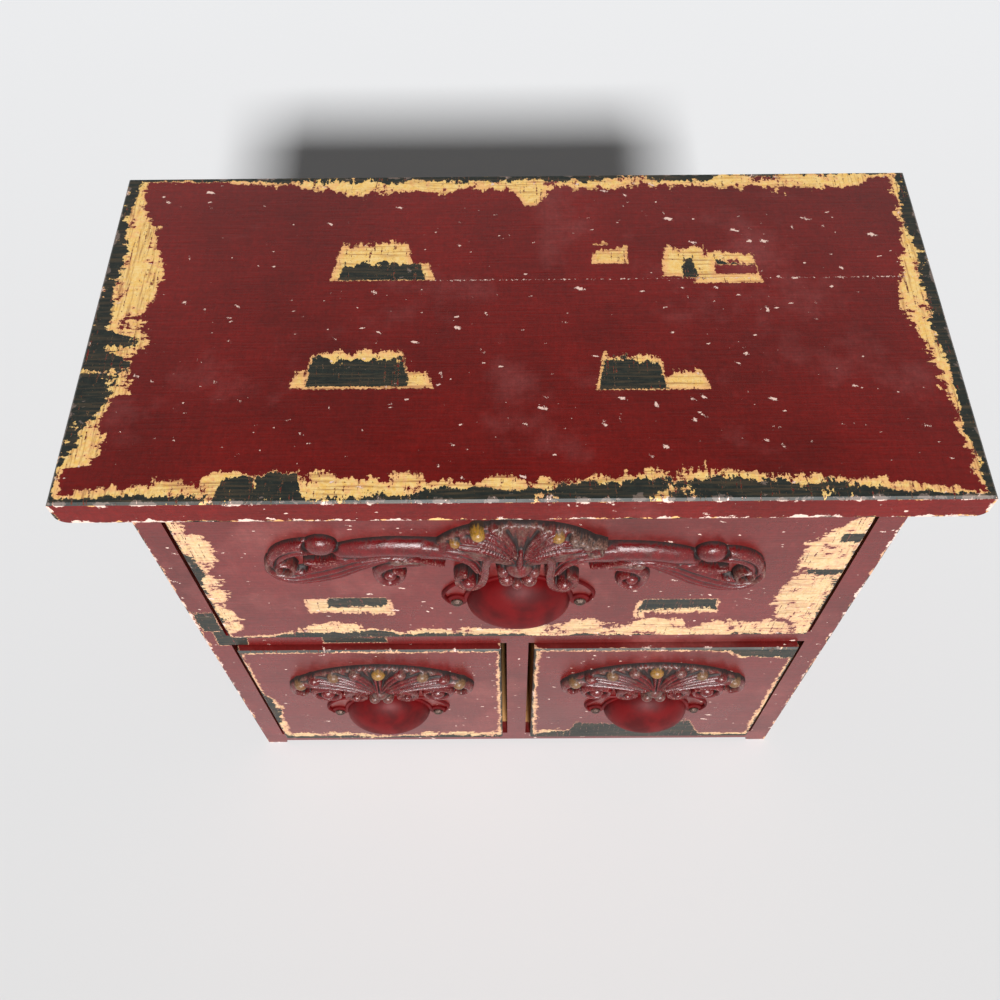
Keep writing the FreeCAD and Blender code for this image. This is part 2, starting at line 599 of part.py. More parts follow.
# Drawers: a front with a low box behind it, on the shelf or the case bottom.
def drawer_front(name, x, y, z, width, height, drawer, middle):
    """The front: rabbeted ends and a groove behind, and two screw holes for the pull."""
    body = board(name, (x, y, z), (width, "Sizes.front_thickness", height))
    inner = "(Sizes.front_thickness - Sizes.front_rabbet)"
    rise = "(Sizes.box_height + Sizes.runner_gap - Sizes.front_gap)"
    for end, at in (("left", "0"), ("right", f"{width} - Sizes.box_stock")):
        cut_box(body, f"{end}_rabbet", (at, inner, "0"), ("Sizes.box_stock", "Sizes.front_rabbet", rise))
    cut_box(body, "bottom_groove",
            ("Sizes.box_stock - Sizes.box_groove", "Sizes.front_thickness - Sizes.box_groove",
             "Sizes.box_groove_height + Sizes.runner_gap - Sizes.front_gap"),
            (f"{width} - 2 * (Sizes.box_stock - Sizes.box_groove)", "Sizes.box_groove", "Sizes.box_bottom"))
    for ear, hand in (("left", -1), ("right", 1)):
        cut_hole(body, f"{ear}_screw_hole", f"{middle} + {hand} * Sizes.ear_place - {x}",
                 drawer["rim_height"], "Sizes.screw_radius + Sizes.screw_play", "Sizes.screw_bite")

    def front_arris(point, along):
        return near(point.y, 0) and abs(along.y) < 0.5 and point.x > -1

    plane_edges(body, "arris", "Sizes.arris", front_arris)
    return body


def box_side(name, x, y, z, length, hand):
    """A box side, grooved inside for the box bottom."""
    body = board(name, (x, y, z), ("Sizes.box_stock", length, "Sizes.box_height"))
    groove_x = "Sizes.box_stock - Sizes.box_groove" if hand < 0 else "0"
    cut_box(body, "groove", (groove_x, "0", "Sizes.box_groove_height"),
            ("Sizes.box_groove", length, "Sizes.box_bottom"))
    return body


def make_drawer(drawer):
    """All the pieces of one drawer, in its opening."""
    name, gap = drawer["name"], drawer["side_gap"]
    x = f"({drawer['left']} + {gap})"
    y = f"({CASE_FRONT} - {drawer['proud']})"
    width = f"({drawer['width']} - 2 * {gap})"
    front_z = f"({drawer['floor']} + Sizes.front_gap)"
    middle = f"({x} + {width} / 2 + {drawer['shift']})"
    drawer_front(f"{name}_front", x, y, front_z, width, f"({drawer['height']} - 2 * Sizes.front_gap)",
                 drawer, middle)

    box_z = f"({drawer['floor']} + Sizes.runner_gap)"
    side_y = f"({y} + Sizes.front_thickness - Sizes.front_rabbet)"
    box_end = f"({CASE_BACK} - Sizes.back_thickness - Sizes.stop_gap)"
    side_length = f"({box_end} - {side_y})"
    box_side(f"{name}_side_left", x, side_y, box_z, side_length, -1)
    box_side(f"{name}_side_right", f"{x} + {width} - Sizes.box_stock", side_y, box_z, side_length, 1)

    bottom_y = f"({y} + Sizes.front_thickness - Sizes.box_groove)"
    bottom_z = f"({box_z} + Sizes.box_groove_height)"
    board(f"{name}_bottom", (f"{x} + Sizes.box_stock - Sizes.box_groove", bottom_y, bottom_z),
          (f"{width} - 2 * (Sizes.box_stock - Sizes.box_groove)", f"{box_end} - {bottom_y}",
           "Sizes.box_bottom"))
    board(f"{name}_back",
          (f"{x} + Sizes.box_stock", f"{box_end} - Sizes.box_stock", f"{bottom_z} + Sizes.box_bottom"),
          (f"{width} - 2 * Sizes.box_stock", "Sizes.box_stock",
           "Sizes.box_height - Sizes.box_groove_height - Sizes.box_bottom"))

    rim_z = f"({front_z} + {drawer['rim_height']})"
    cup_pull(f"{name}_pull", middle, y, rim_z)
    pull_screws(f"{name}_pull_screws", middle, y, rim_z)
    carving(f"{name}_{drawer['carving']}", drawer["shape"], middle, y,
            f"{front_z} + {drawer['carving_height']}", drawer["tilt"])


HALF_WIDTH = f"({INNER_HALF} - Sizes.divider_thickness / 2)"
SMALL_HEIGHT = f"(Sizes.shelf_underside - {BOTTOM_TOP})"
WIDE = {
    "name": "wide_drawer", "left": f"(-{INNER_HALF})", "width": f"(2 * {INNER_HALF})",
    "floor": SHELF_TOP, "height": f"(Sizes.case_height - {SHELF_TOP})",
    "proud": "Sizes.wide_proud", "side_gap": "Sizes.wide_side_gap", "shift": "0",
    "rim_height": "Sizes.wide_rim_height", "carving": "swag", "shape": swag_shape,
    "carving_height": "Sizes.swag_height", "tilt": size["swag_tilt"],
}
SMALL = {
    "width": HALF_WIDTH, "floor": BOTTOM_TOP, "height": SMALL_HEIGHT,
    "proud": "Sizes.small_proud", "side_gap": "Sizes.small_side_gap",
    "rim_height": "Sizes.small_rim_height", "carving": "crest", "shape": crest_shape,
    "carving_height": "Sizes.crest_height", "tilt": 0.0,
}
make_drawer(WIDE)
make_drawer({**SMALL, "name": "left_drawer", "left": f"(-{INNER_HALF})", "shift": "Sizes.small_pull_shift"})
make_drawer({**SMALL, "name": "right_drawer", "left": "(Sizes.divider_thickness / 2)",
             "shift": "-Sizes.small_pull_shift"})


# Check every object, then write one file for each piece.
doc.recompute()
for thing in doc.Objects:
    if "Invalid" in thing.State or "Error" in thing.State:
        raise RuntimeError(f"{thing.Name} failed: {thing.State}")
os.makedirs("parts", exist_ok=True)
for piece in pieces:
    shape = piece.Shape
    if shape.isNull() or not shape.isValid():
        raise RuntimeError(f"{piece.Label} has no valid shape")
    shape.exportStep(f"parts/{piece.Label}.step")
    volume = shape.Volume / 1000
    print(f"{piece.Label}: {len(shape.Solids)} solid(s), {len(shape.Faces)} faces, {volume:.2f} cm3")
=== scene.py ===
"""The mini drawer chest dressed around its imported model: rubbed-through paint on every board,
modelled carvings and cast cup pulls, bare wood inside the drawers. Lengths in the tables are in
millimetres, in the frame of the model: x to the right, y to the back, z up from the floor."""
import math
from functools import partial

import bmesh
import bpy
import numpy as np
from mathutils import Matrix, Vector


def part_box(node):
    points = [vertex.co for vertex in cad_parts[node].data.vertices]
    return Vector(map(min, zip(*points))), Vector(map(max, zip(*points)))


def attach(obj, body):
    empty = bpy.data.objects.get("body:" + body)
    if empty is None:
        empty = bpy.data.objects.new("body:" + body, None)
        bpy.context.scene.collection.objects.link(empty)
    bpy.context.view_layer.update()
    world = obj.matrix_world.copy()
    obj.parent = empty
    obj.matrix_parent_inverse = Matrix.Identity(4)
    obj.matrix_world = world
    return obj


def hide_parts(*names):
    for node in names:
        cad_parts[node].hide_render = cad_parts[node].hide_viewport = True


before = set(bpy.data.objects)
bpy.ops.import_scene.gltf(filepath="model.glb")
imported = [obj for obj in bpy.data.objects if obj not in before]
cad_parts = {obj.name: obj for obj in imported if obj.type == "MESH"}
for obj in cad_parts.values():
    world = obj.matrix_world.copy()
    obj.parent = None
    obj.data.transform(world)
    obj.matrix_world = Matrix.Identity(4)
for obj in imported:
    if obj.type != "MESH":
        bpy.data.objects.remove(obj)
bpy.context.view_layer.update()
MM = 0.001


def span(node):
    """Lowest and highest corner of a model node, in millimetres."""
    low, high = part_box(node)
    return np.array(low) / MM, np.array(high) / MM


def linear(code):
    """An sRGB hex colour as a linear one, each channel through the sRGB curve."""
    parts = [int(code[i:i + 2], 16) / 255 for i in (1, 3, 5)]
    return tuple(c / 12.92 if c <= 0.04045 else ((c + 0.055) / 1.055) ** 2.4 for c in parts) + (1,)


# Signs for the commonest nodes; "*+" is a product and a sum
SIGNS = {"+": "Math ADD", "-": "Math SUBTRACT", "*": "Math MULTIPLY", "*+": "Math MULTIPLY_ADD",
         "min": "Math MINIMUM", "max": "Math MAXIMUM", "abs": "Math ABSOLUTE"}


def add_node(tree, kind, feeds=(), **settings):
    """Adds a node, such as "VectorMath SCALE": its settings, then what feeds its sockets, in order or by
    name, with hex colours turned linear."""
    kind, _, operation = SIGNS.get(kind, kind).partition(" ")
    made = tree.nodes.new("ShaderNode" + kind)
    if operation:
        made.operation = operation
    for key, value in settings.items():
        setattr(made, key, value)
    for key, value in (feeds.items() if isinstance(feeds, dict) else enumerate(feeds)):
        if isinstance(value, bpy.types.Node):
            value = value.outputs[0]
        if isinstance(value, bpy.types.NodeSocket):
            tree.links.new(value, made.inputs[key])
        elif value is not None:
            made.inputs[key].default_value = linear(value) if isinstance(value, str) else value
    return made


def blank(name):
    """A new material with an empty tree: what adds nodes to it, its object coordinates in millimetres
    and its normals. A noise's sockets are its vector, w, scale, detail and roughness."""
    material = bpy.data.materials.new(name)
    material.use_nodes = True
    material.node_tree.nodes.clear()
    add = partial(add_node, material.node_tree)
    place = add("TexCoord")
    at = add("VectorMath SCALE", {"Vector": place.outputs["Object"], "Scale": 1 / MM})
    return material, add, at, place.outputs["Normal"]


def close(add, colour, roughness, height, depth, **sockets):
    """Ends a material: colour, roughness and a bump of that depth in millimetres on one glossy surface."""
    bump = add("Bump", {"Height": height, "Distance": depth * MM, "Strength": 1})
    feeds = {"Base Color": colour, "Roughness": roughness, "Normal": bump}
    feeds.update({key.replace("_", " "): value for key, value in sockets.items()})
    add("OutputMaterial", [add("BsdfPrincipled", feeds)])


# Paint: three coats of oil paint brushed over each other and rubbed through where hands and cloths
# wear them: deep crimson on top, cream yellow under it, and a very dark green next to the wood.
CRIMSON_TOP = ("#73130f", "#5c0d09", "#7d3735")
CRIMSON_FRONT = ("#6e1b1a", "#5a1613", "#823f3b")
CREAM_TOP = ("#e6b355", "#f2d493", "#e9a874", "#8d4d2c")
# the fronts' cream is a darker copy of the top's: painted shade against the stronger light on the fronts
CREAM_FRONT_SHADED = ("#cba36c", "#dcc29a", "#cf9478", "#7c4030")
GREEN = ("#0b120f", "#1f261f", "#3f3526")
CHIP = "#e6c6b8"
PAINT_IOR, WOOD_IOR = 1.5, 1.45
# Roughness of the crimson, of the cream and of bare wood, as greys to mix
CRIMSON_SHEEN, CREAM_SHEEN, WOOD_SHEEN = ((level,) * 3 + (1,) for level in (0.28, 0.52, 0.7))
# A colour ramp keeps a margin's widths as shares of so many mm. Nothing reaches out from so far
# below the surface, and a torn edge fades over so many mm on each side of it.
MARGIN_SCALE, NOWHERE, FADE = 40.0, -50.0, 0.1
# Between these parts of a normal, one side of a board gives way to the next
TURNING = (0.3, 0.6)
# Chips, flakes, long scratches and hairlines: how far they are turned in degrees, how long and how
# wide their cells are in mm, the share of cells with none, and the biggest one's share of its cell
CHIPS = ((14, 12, 4.4, 0.6, 0.15), (-10, 5.5, 2.4, 0.66, 0.14),
         (35, 34, 4, 0.8, 0.13), (60, 26, 4, 0.88, 0.13))


def margin(add, along, across, table):
    """How far the cream and the green reach past a point, in mm, along one edge of a board, and how
    strongly they are torn there: less where the cream is under 8 mm broad. along is the share of the
    edge's length, across the distance from it, and the table gives (share, cream width, green width)."""
    ramp = add("ValToRGB", [along])
    for i, (share, cream, green) in enumerate(sorted(table)):
        stop = ramp.color_ramp.elements[i] if i < 2 else ramp.color_ramp.elements.new(share)
        stop.position = share
        stop.color = (cream / MARGIN_SCALE, green / MARGIN_SCALE, 0, 1)
    widths = add("SeparateColor", [ramp])
    reach = []
    for k, furthest in enumerate((2, 1.8)):
        wide = add("*", [widths.outputs[k], MARGIN_SCALE])
        reach.append(add("min", [add("-", [wide, across]), furthest]))
    return reach, add("MapRange", [widths.outputs[0], 0, 8 / MARGIN_SCALE, 0.12, 1])


def torn(add, noise, low, high, channel):
    """One channel of a noise, which mostly lies between 0.32 and 0.68, spread from low to high."""
    field = add("SeparateColor", [noise.outputs["Color"]])
    return add("MapRange", [field.outputs[channel], 0.32, 0.68, low, high])


def tears(add, channel, *noises):
    """The sum of one channel of several noises, each spread over so much on both sides of nothing."""
    total = None
    for noise, spread in noises:
        field = torn(add, noise, -spread, spread, channel)
        total = field if total is None else add("+", [total, field])
    return total


def after(add, vector, value):
    """The same coordinates, worked out once the value is known: the renderer has room for only so many
    values at a time, and a long material that isn't taken in turn comes out black."""
    return add("VectorMath MULTIPLY_ADD", [value, (1e-9,) * 3, vector])


def rubbed_paint(name, corners, flat_axes, palette, margins, patches, torn_end="high", hidden=None,
                 side_wear=1, edge_gloss=0.5, knocks=2, seam=None):
    """Brushed oil paint, rubbed through at the margins and in patches of one broad face.
    corners: the board's box. flat_axes: the face's two directions, as letters. palette: its crimson
    and its cream. margins: a table for each of the edges low_u, high_u, low_v and high_v. patches:
    (u0, u1, v0, v1, coat, lean) with one straight edge, one torn_end and ends that lean in; a "cut"
    one is scraped back to the cream, and a "red" one kept its crimson. hidden: where the wood was
    never painted, the "back" of a drawer front or the "inside" of the case. side_wear: how much more
    the ends are rubbed than the face. edge_gloss: how shiny the board's narrow edges are. knocks: the
    deepest chips in its arrises, in mm. seam: where a glued joint crosses the face, as (v, from u),
    with the paint cracked off along it. In the lists of two, the cream is 0 and the green 1."""
    material, add, at, normal = blank(name)
    low, high = corners
    axis_u, axis_v = ("XYZ".index(letter) for letter in flat_axes)
    parts = add("SeparateXYZ", [at])
    u, v = parts.outputs[axis_u], parts.outputs[axis_v]
    flat = add("CombineXYZ", [u, v, 0])

    # what tears the coats' edges: lumps 11 mm and bits 3.5 mm apart, crumbs of 1 mm, and rubbing marks
    # 1.5 by 5 mm that run out from the nearest edge
    lumps = add("TexNoise", [flat, None, 1 / 11, 9, 0.62])
    bits = add("TexNoise", [flat, None, 1 / 3.5, 5, 0.65])
    crumbs = add("TexNoise", [at, None, 1, 4, 0.7])
    marks = {}
    for axis, scale in ((axis_u, (1 / 5, 1 / 1.5, 1)), (axis_v, (1 / 1.5, 1 / 5, 1))):
        drawn = add("Mapping", {"Vector": flat, "Scale": scale})
        marks[axis] = add("TexNoise", [drawn, None, 1, 5, 0.62])

    facing = add("SeparateXYZ", [normal])
    reach = [NOWHERE, NOWHERE]
    sides = {"low_u": (axis_v, axis_u, 1), "high_u": (axis_v, axis_u, -1),
             "low_v": (axis_u, axis_v, 1), "high_v": (axis_u, axis_v, -1)}
    for side, table in margins.items():
        along, across, hand = sides[side]
        here = add("SeparateXYZ", [at if reach[0] == NOWHERE else after(add, at, reach[0])]).outputs
        share = add("MapRange", [here[along], float(low[along]), float(high[along])])
        ends = [here[across], float(low[across])] if hand > 0 else [float(high[across]), here[across]]
        widths, strength = margin(add, share, add("-", ends), table)
        for k in (0, 1):
            rough = tears(add, k, (lumps, 3.6), (marks[across], 1.5), (bits, 1.9))
            if k:
                rough = add("*", [rough, 0.6])
            edge = add("*+", [rough, strength, widths[k]])
            reach[k] = add("max", [reach[k], edge])

    # patches, each with its ends nearer together the further it is from its straight edge
    tear = [tears(add, k, (marks[axis_v], 1.4), (bits, 1.5)) for k in (0, 1)]
    tear = [add("+", [tear[k], torn(add, lumps, -2, 2, k)]) for k in (0, 1)]
    depth = tear[0]
    for u0, u1, v0, v1, coat, lean in patches:
        k = 1 if coat == "green" else 0
        here = add("SeparateXYZ", [after(add, flat, depth)])
        from_low = add("-", [here.outputs[1], v0])
        off = add("-", [here.outputs[0], (u0 + u1) / 2])
        ends = [from_low, add("-", [v1 - v0, from_low])]
        which = 1 if torn_end == "high" else 0
        ends[which] = add("+", [ends[which], tear[k]])
        to_end = add("abs", [off])
        if lean:
            to_end = add("*+", [from_low, lean, to_end])
        to_end = add("-", [(u1 - u0) / 2, to_end])
        to_end = add("*+", [tear[k], 0.3, to_end])
        depth = add("min", [to_end, add("min", ends)])
        if coat in ("cut", "red"):
            outside = add("*", [depth, -1])
            for j in ((1,) if coat == "cut" else (0, 1)):
                reach[j] = add("min", [reach[j], outside])
        else:
            reach[k] = add("max", [reach[k], depth])
    # no crimson is left inside the green
    reach[0] = add("max", [reach[0], add("+", [reach[1], 0.3])])
    reach = [add("+", [reach[k], torn(add, crumbs, -0.5, 0.5, k)]) for k in (0, 1)]

    # only the broad face wears like this; the board's edges and its hidden side don't
    broad_axis = 3 - axis_u - axis_v
    broad = add("*", [facing.outputs[broad_axis], 1 if broad_axis == 2 else -1])
    edge_only = add("MapRange", [broad, *TURNING, -60, 0])
    reach = [add("+", [field, edge_only]) for field in reach]

    at = after(add, at, reach[1])
    # every arris loses paint: the second smallest distance to the board's faces is that to its edge
    centre, half = (tuple(float(c) for c in corner) for corner in ((low + high) / 2, (high - low) / 2))
    off = add("VectorMath ABSOLUTE", [add("VectorMath SUBTRACT", [at, centre])])
    a, b, c = add("SeparateXYZ", [add("VectorMath SUBTRACT", [half, off])]).outputs
    least, most = add("min", [a, b]), add("max", [a, b])
    arris = add("max", [least, add("min", [most, c])])
    bite = add("TexNoise", [at, None, 1 / 8, 7, 0.68])
    sideways = add("abs", [facing.outputs[0]])
    more = add("MapRange", [sideways, 0.3, 0.7, 1, side_wear])
    for k, (least_bite, most_bite) in enumerate(((-1.3, 1.7), (-1, 1.5))):
        eaten = add("*", [torn(add, bite, least_bite, most_bite, k), more])
        reach[k] = add("max", [reach[k], add("-", [eaten, arris])])
    knocked = add("-", [torn(add, bite, knocks - 5, knocks, 2), arris])
    if seam is not None:
        off = add("abs", [add("-", [v, seam[0]])])
        crack = add("-", [torn(add, crumbs, -1, 0.6, 1), off])
        crack = add("min", [crack, add("-", [u, seam[1]])])
        knocked = add("max", [knocked, crack])
    gloss = add("MapRange", [broad, *TURNING, edge_gloss, 0.5])

    bare = None
    if hidden == "back":
        bare = add("MapRange", [facing.outputs[1], *TURNING]), "X"
    elif hidden == "inside":
        # the paint runs 7 mm in behind the front edges, and stops at the inner faces of the sides
        outward = add("abs", [parts.outputs[0]])
        within = add("-", [float(high[0]) - 9.7, outward])
        behind = add("-", [parts.outputs[1], float(low[1]) + 7])
        behind = add("+", [behind, torn(add, lumps, -2.5, 2.5, 2)])
        within = add("min", [within, behind])
        bare = add("MapRange", [within, -FADE, FADE]), "Y"
    finish_paint(add, at, palette, reach, knocked, crumbs, bare, gloss)
    return material


def finish_paint(add, at, palette, reach, knocked, crumbs, bare, gloss):
    """Colours, sheen and thickness of the three coats, from how far the cream, the green and the
    knocked-off chips reach past a point. bare: 1 where the wood was never painted, and the way its
    grain runs, or None. gloss: how strongly the paint mirrors."""
    crimson, cream_tones = palette
    at = after(add, at, reach[0])
    # brush marks along the board, and marks across it
    grit = add("TexNoise", [at, None, 1 / 1.5, 6, 0.75])
    brush, across = (add("TexNoise", [add("Mapping", {"Vector": at, "Scale": scale}), None, 1, 4, 0.6])
                     for scale in ((1 / 16, 1 / 0.9, 1 / 0.9), (1 / 0.8, 1 / 12, 1 / 12)))
    # flecks of the upper coat stay in the hollows of the brush marks
    left = add("MapRange", [tears(add, 1, (grit, 0.5), (across, 0.6)), 0.5, 0.62, 1, 0])
    cream_mask, green_mask = (add("*", [add("MapRange", [field, -FADE, FADE]), left])
                              for field in reach)
    green_mask = add("*", [green_mask, add("MapRange", [reach[0], -FADE, FADE])])

    # crimson: clouds of old polish 45 mm across, dusty ones, brush marks 0.9 mm apart, and fine dark
    # and light specks
    cloud = add("TexNoise", [at, None, 1 / 45, 6, 0.62])
    red = add("MixRGB", [torn(add, cloud, 0, 1, 0), crimson[0], crimson[1]])
    red = add("MixRGB", [torn(add, cloud, -1.1, 0.7, 1), red, crimson[2]])
    streak = add("*", [torn(add, brush, 0.9, 1.1, 0), torn(add, grit, 0.72, 1.14, 0)])
    streak = add("*", [streak, torn(add, across, 0.93, 1.07, 0)])
    red = add("VectorMath SCALE", {"Vector": red, "Scale": streak})

    # cream: peach where the crimson's edge feathers over it, then yellow and pale in its brush marks,
    # with brown in the deepest, which run up and down near the board's ends
    cream = add("MixRGB", [torn(add, grit, 0, 1, 2), cream_tones[0], cream_tones[1]])
    cream = add("MixRGB", [add("MapRange", [reach[0], 0.3, 2.4, 0.75, 0]), cream, cream_tones[2]])
    aside = add("abs", [add("SeparateXYZ", [at])])
    aside = add("MapRange", [aside, 110, 126])
    stain = add("MixRGB", [aside, torn(add, brush, -0.75, 0.75, 2), torn(add, across, -0.75, 0.65, 2)])
    cream = add("MixRGB", [stain, cream, cream_tones[3]])
    green = add("MixRGB", [torn(add, grit, -0.4, 1, 0), GREEN[0], GREEN[1]])
    green = add("MixRGB", [torn(add, brush, -0.7, 1, 2), green, GREEN[2]])
    colour = add("MixRGB", [cream_mask, red, cream])
    colour = add("MixRGB", [green_mask, colour, green])

    # chips 0.3 to 2 mm across, knocked off to the pale primer: along the arrises, strewn about in
    # loose swarms, and scratches 3 to 6 mm long
    ragged = torn(add, crumbs, -0.12, 0.12, 2)
    swarm = torn(add, cloud, -0.06, 0.06, 2)
    chips = [add("MapRange", [knocked, -FADE, FADE])]
    for turn, long, wide, rare, biggest in CHIPS:
        turned = (0, math.radians(-turn), math.radians(turn))
        drawn = add("Mapping", {"Vector": after(add, at, chips[-1]), "Rotation": turned})
        drawn = add("VectorMath MULTIPLY", [drawn, (1 / long, 1 / wide, 1 / wide)])
        cell = add("TexVoronoi", {"Vector": drawn, "Scale": 1, "Randomness": 1})
        size = add("MapRange", [add("SeparateColor", [cell.outputs["Color"]]), rare, 1, -0.05, biggest])
        size = add("+", [add("+", [size, swarm]), ragged])
        inside = add("-", [size, cell.outputs["Distance"]])
        chips.append(add("MapRange", [inside, 0, 0.03]))
    chip_mask = chips[0]
    for each in chips[1:]:
        chip_mask = add("max", [chip_mask, each])
    chip_mask = add("*", [chip_mask, add("MapRange", [green_mask, 0, 1, 1, 0.15])])
    colour = add("MixRGB", [chip_mask, colour, CHIP])

    sheen = add("MixRGB", [cream_mask, CRIMSON_SHEEN, CREAM_SHEEN])
    sheen = add("+", [sheen, torn(add, cloud, -0.05, 0.08, 1)])
    height = 0
    for field, depth in ((cream_mask, -0.55), (green_mask, -0.35), (chip_mask, -0.4), (brush, 0.5),
                         (grit, 0.3)):
        height = add("*+", [field, depth, height])
    if bare is not None:
        unpainted, along = bare
        wood, wood_height = softwood(add, at, along)
        colour = add("MixRGB", [unpainted, colour, wood])
        sheen = add("MixRGB", [unpainted, sheen, WOOD_SHEEN])
        height = add("MixRGB", [unpainted, height, wood_height])
    close(add, colour, sheen, height, 0.12, IOR=PAINT_IOR, Specular_IOR_Level=gloss)


def softwood(add, at, along):
    """Unpainted pine: annual rings drawn out along the board, 3 mm apart, gone honey brown with age."""
    drawn = add("Mapping", {"Vector": at, "Scale": tuple(0.05 if axis == along else 1 for axis in "XYZ")})
    warp = add("TexNoise", [drawn, None, 1 / 14, 4])
    rings = add("TexNoise", {"Vector": drawn, "Scale": 1 / 3, "Detail": 2, "Distortion": 0.6})
    fibres = add("TexNoise", [drawn, None, 1 / 0.6, 4, 0.7])
    early = add("MixRGB", [add("MapRange", [warp, 0.35, 0.65]), "#c79a63", "#b5834c"])
    late = add("MixRGB", [add("MapRange", [rings, 0.48, 0.62, 0, 0.7]), early, "#8e5e33"])
    wood = add("MixRGB", [add("MapRange", [fibres, 0.5, 0.8, 0, 0.5]), late, "#7a5230"])
    return wood, add("+", [rings, add("*", [fibres, 0.5])])


def bare_softwood(name, along):
    """Pine boards of the drawer boxes and of the case inside: planed, never painted, so dull and warm."""
    material, add, at, _ = blank(name)
    wood, height = softwood(add, at, along)
    close(add, wood, 0.68, height, 0.08, IOR=WOOD_IOR)
    return material


def birch_ply():
    """Thin birch plywood of the back and the box bottoms: pale, rotary cut, with broad soft figure."""
    material, add, at, _ = blank("birch_plywood")
    drawn = add("Mapping", {"Vector": at, "Scale": (0.07, 1, 1)})
    figure = add("TexNoise", {"Vector": drawn, "Scale": 1 / 22, "Detail": 3, "Distortion": 0.25})
    pores = add("TexNoise", [drawn, None, 1 / 0.7, 3, 0.7])
    wood = add("MixRGB", [add("MapRange", [figure, 0.25, 0.75]), "#c7a274", "#b18a5c"])
    wood = add("MixRGB", [add("MapRange", [pores, 0.55, 0.8, 0, 0.5]), wood, "#8d6a43"])
    close(add, wood, 0.7, add("*", [pores, 0.3]), 0.05, IOR=WOOD_IOR)
    return material


def glazed_casting():
    """Carvings cast in resin, brushed crimson and wiped with an umber and grey glaze: glossy on the high
    places, dull and dark in the hollows, a dark that is partly glaze and partly painted shade, with pale wear
    and painted glints on the ridges, and yellow berries. Attributes of the mesh say where."""
    material, add, at, _ = blank("glazed_crimson_casting")
    hollow_glaze_and_shade, gilt, ash, ridge = (add("Attribute", attribute_name=key).outputs["Fac"]
                                for key in ("hollow_glaze_and_shade", "gilt", "ash", "ridge"))
    blot = add("TexNoise", [at, None, 1 / 3.2, 6, 0.7])
    fine = add("TexNoise", [at, None, 1 / 0.7, 5, 0.7])
    red = add("MixRGB", [torn(add, blot, 0, 1, 0), "#6a0f12", "#43090b"])
    wash = add("+", [ash, torn(add, blot, -0.35, 0.35, 1)])
    wash = add("MapRange", [wash, 0.25, 0.85, 0, 0.85])
    grey = add("MixRGB", [torn(add, fine, -0.3, 1, 0), "#33211c", "#7d6657"])
    colour = add("MixRGB", [wash, red, grey])
    gold = add("MixRGB", [torn(add, fine, 0, 1, 1), "#a87a26", "#6a5220"])
    colour = add("MixRGB", [gilt, colour, gold])
    # umber glaze and painted shade: the hollows and the low ground round the strokes go towards near black,
    # and dull
    glaze_and_painted_shade = add("+", [hollow_glaze_and_shade, torn(add, fine, -0.2, 0.2, 2)])
    glaze_and_painted_shade = add("MapRange", [glaze_and_painted_shade, 0.08, 0.6, 0, 0.95])
    colour = add("MixRGB", [glaze_and_painted_shade, colour, "#150b09"])
    # pale marks on the ridges: partly rubbed-through wear, partly painted glints
    ridge_wear_and_glint = add("+", [ridge, torn(add, fine, -1.15, 0.3, 2)])
    ridge_wear_and_glint = add("MapRange", [ridge_wear_and_glint, 0.4, 0.6, 0, 0.6])
    colour = add("MixRGB", [ridge_wear_and_glint, colour, "#a5766a"])
    sheen = add("MapRange", [wash, 0, 1, 0.26, 0.44])
    sheen = add("+", [sheen, add("MapRange", [glaze_and_painted_shade, 0, 0.6, 0, 0.34])])
    height = add("*+", [fine, 0.5, blot])
    close(add, colour, sheen, height, 0.18, IOR=PAINT_IOR)
    return material


def glossy_pull():
    """Cast iron pulls dipped in crimson enamel paint: a thick smooth skin, rubbed to a satin. Its old skin
    mirrors less than fresh paint, so its IOR is lower."""
    material, add, at, _ = blank("enamelled_cast_iron")
    blot = add("TexNoise", [at, None, 1 / 9, 4])
    fine = add("TexNoise", [at, None, 1 / 1.2, 4, 0.7])
    red = add("MixRGB", [add("MapRange", [blot, 0.4, 0.62]), "#600508", "#460305"])
    rust = add("MapRange", [fine, 0.66, 0.76, 0, 0.7])
    colour = add("MixRGB", [rust, red, "#2a1512"])
    sheen = add("MapRange", [blot, 0.3, 0.7, 0.48, 0.58])
    close(add, colour, sheen, add("*", [fine, 0.5]), 0.06, IOR=1.27)
    return material


def aged_screw():
    """Steel round-head screws gone brown under old paint: dull metal with a little shine on the high rim."""
    material, add, at, _ = blank("browned_steel_screw")
    fine = add("TexNoise", [at, None, 1 / 0.9, 5, 0.7])
    mix = add("MapRange", [fine, 0.4, 0.6])
    colour = add("MixRGB", [mix, "#3a201c", "#6a564c"])
    close(add, colour, add("MapRange", [fine, 0.3, 0.7, 0.35, 0.6]), fine, 0.05, Metallic=0.6)
    return material


def put(name, data):
    """A new object in the scene."""
    made = bpy.data.objects.new(name, data)
    bpy.context.scene.collection.objects.link(made)
    return made


def mesh_piece(name, points, faces, material, body, replaced):
    """A finished piece in place: its mesh, its finish, the body it rides on and the node it stands for."""
    mesh = bpy.data.meshes.new(name)
    mesh.from_pydata([tuple(p) for p in np.asarray(points)], [], [tuple(f) for f in faces])
    piece = put(name, mesh)
    mesh.materials.append(material)
    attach(piece, body)
    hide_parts(replaced)
    return piece


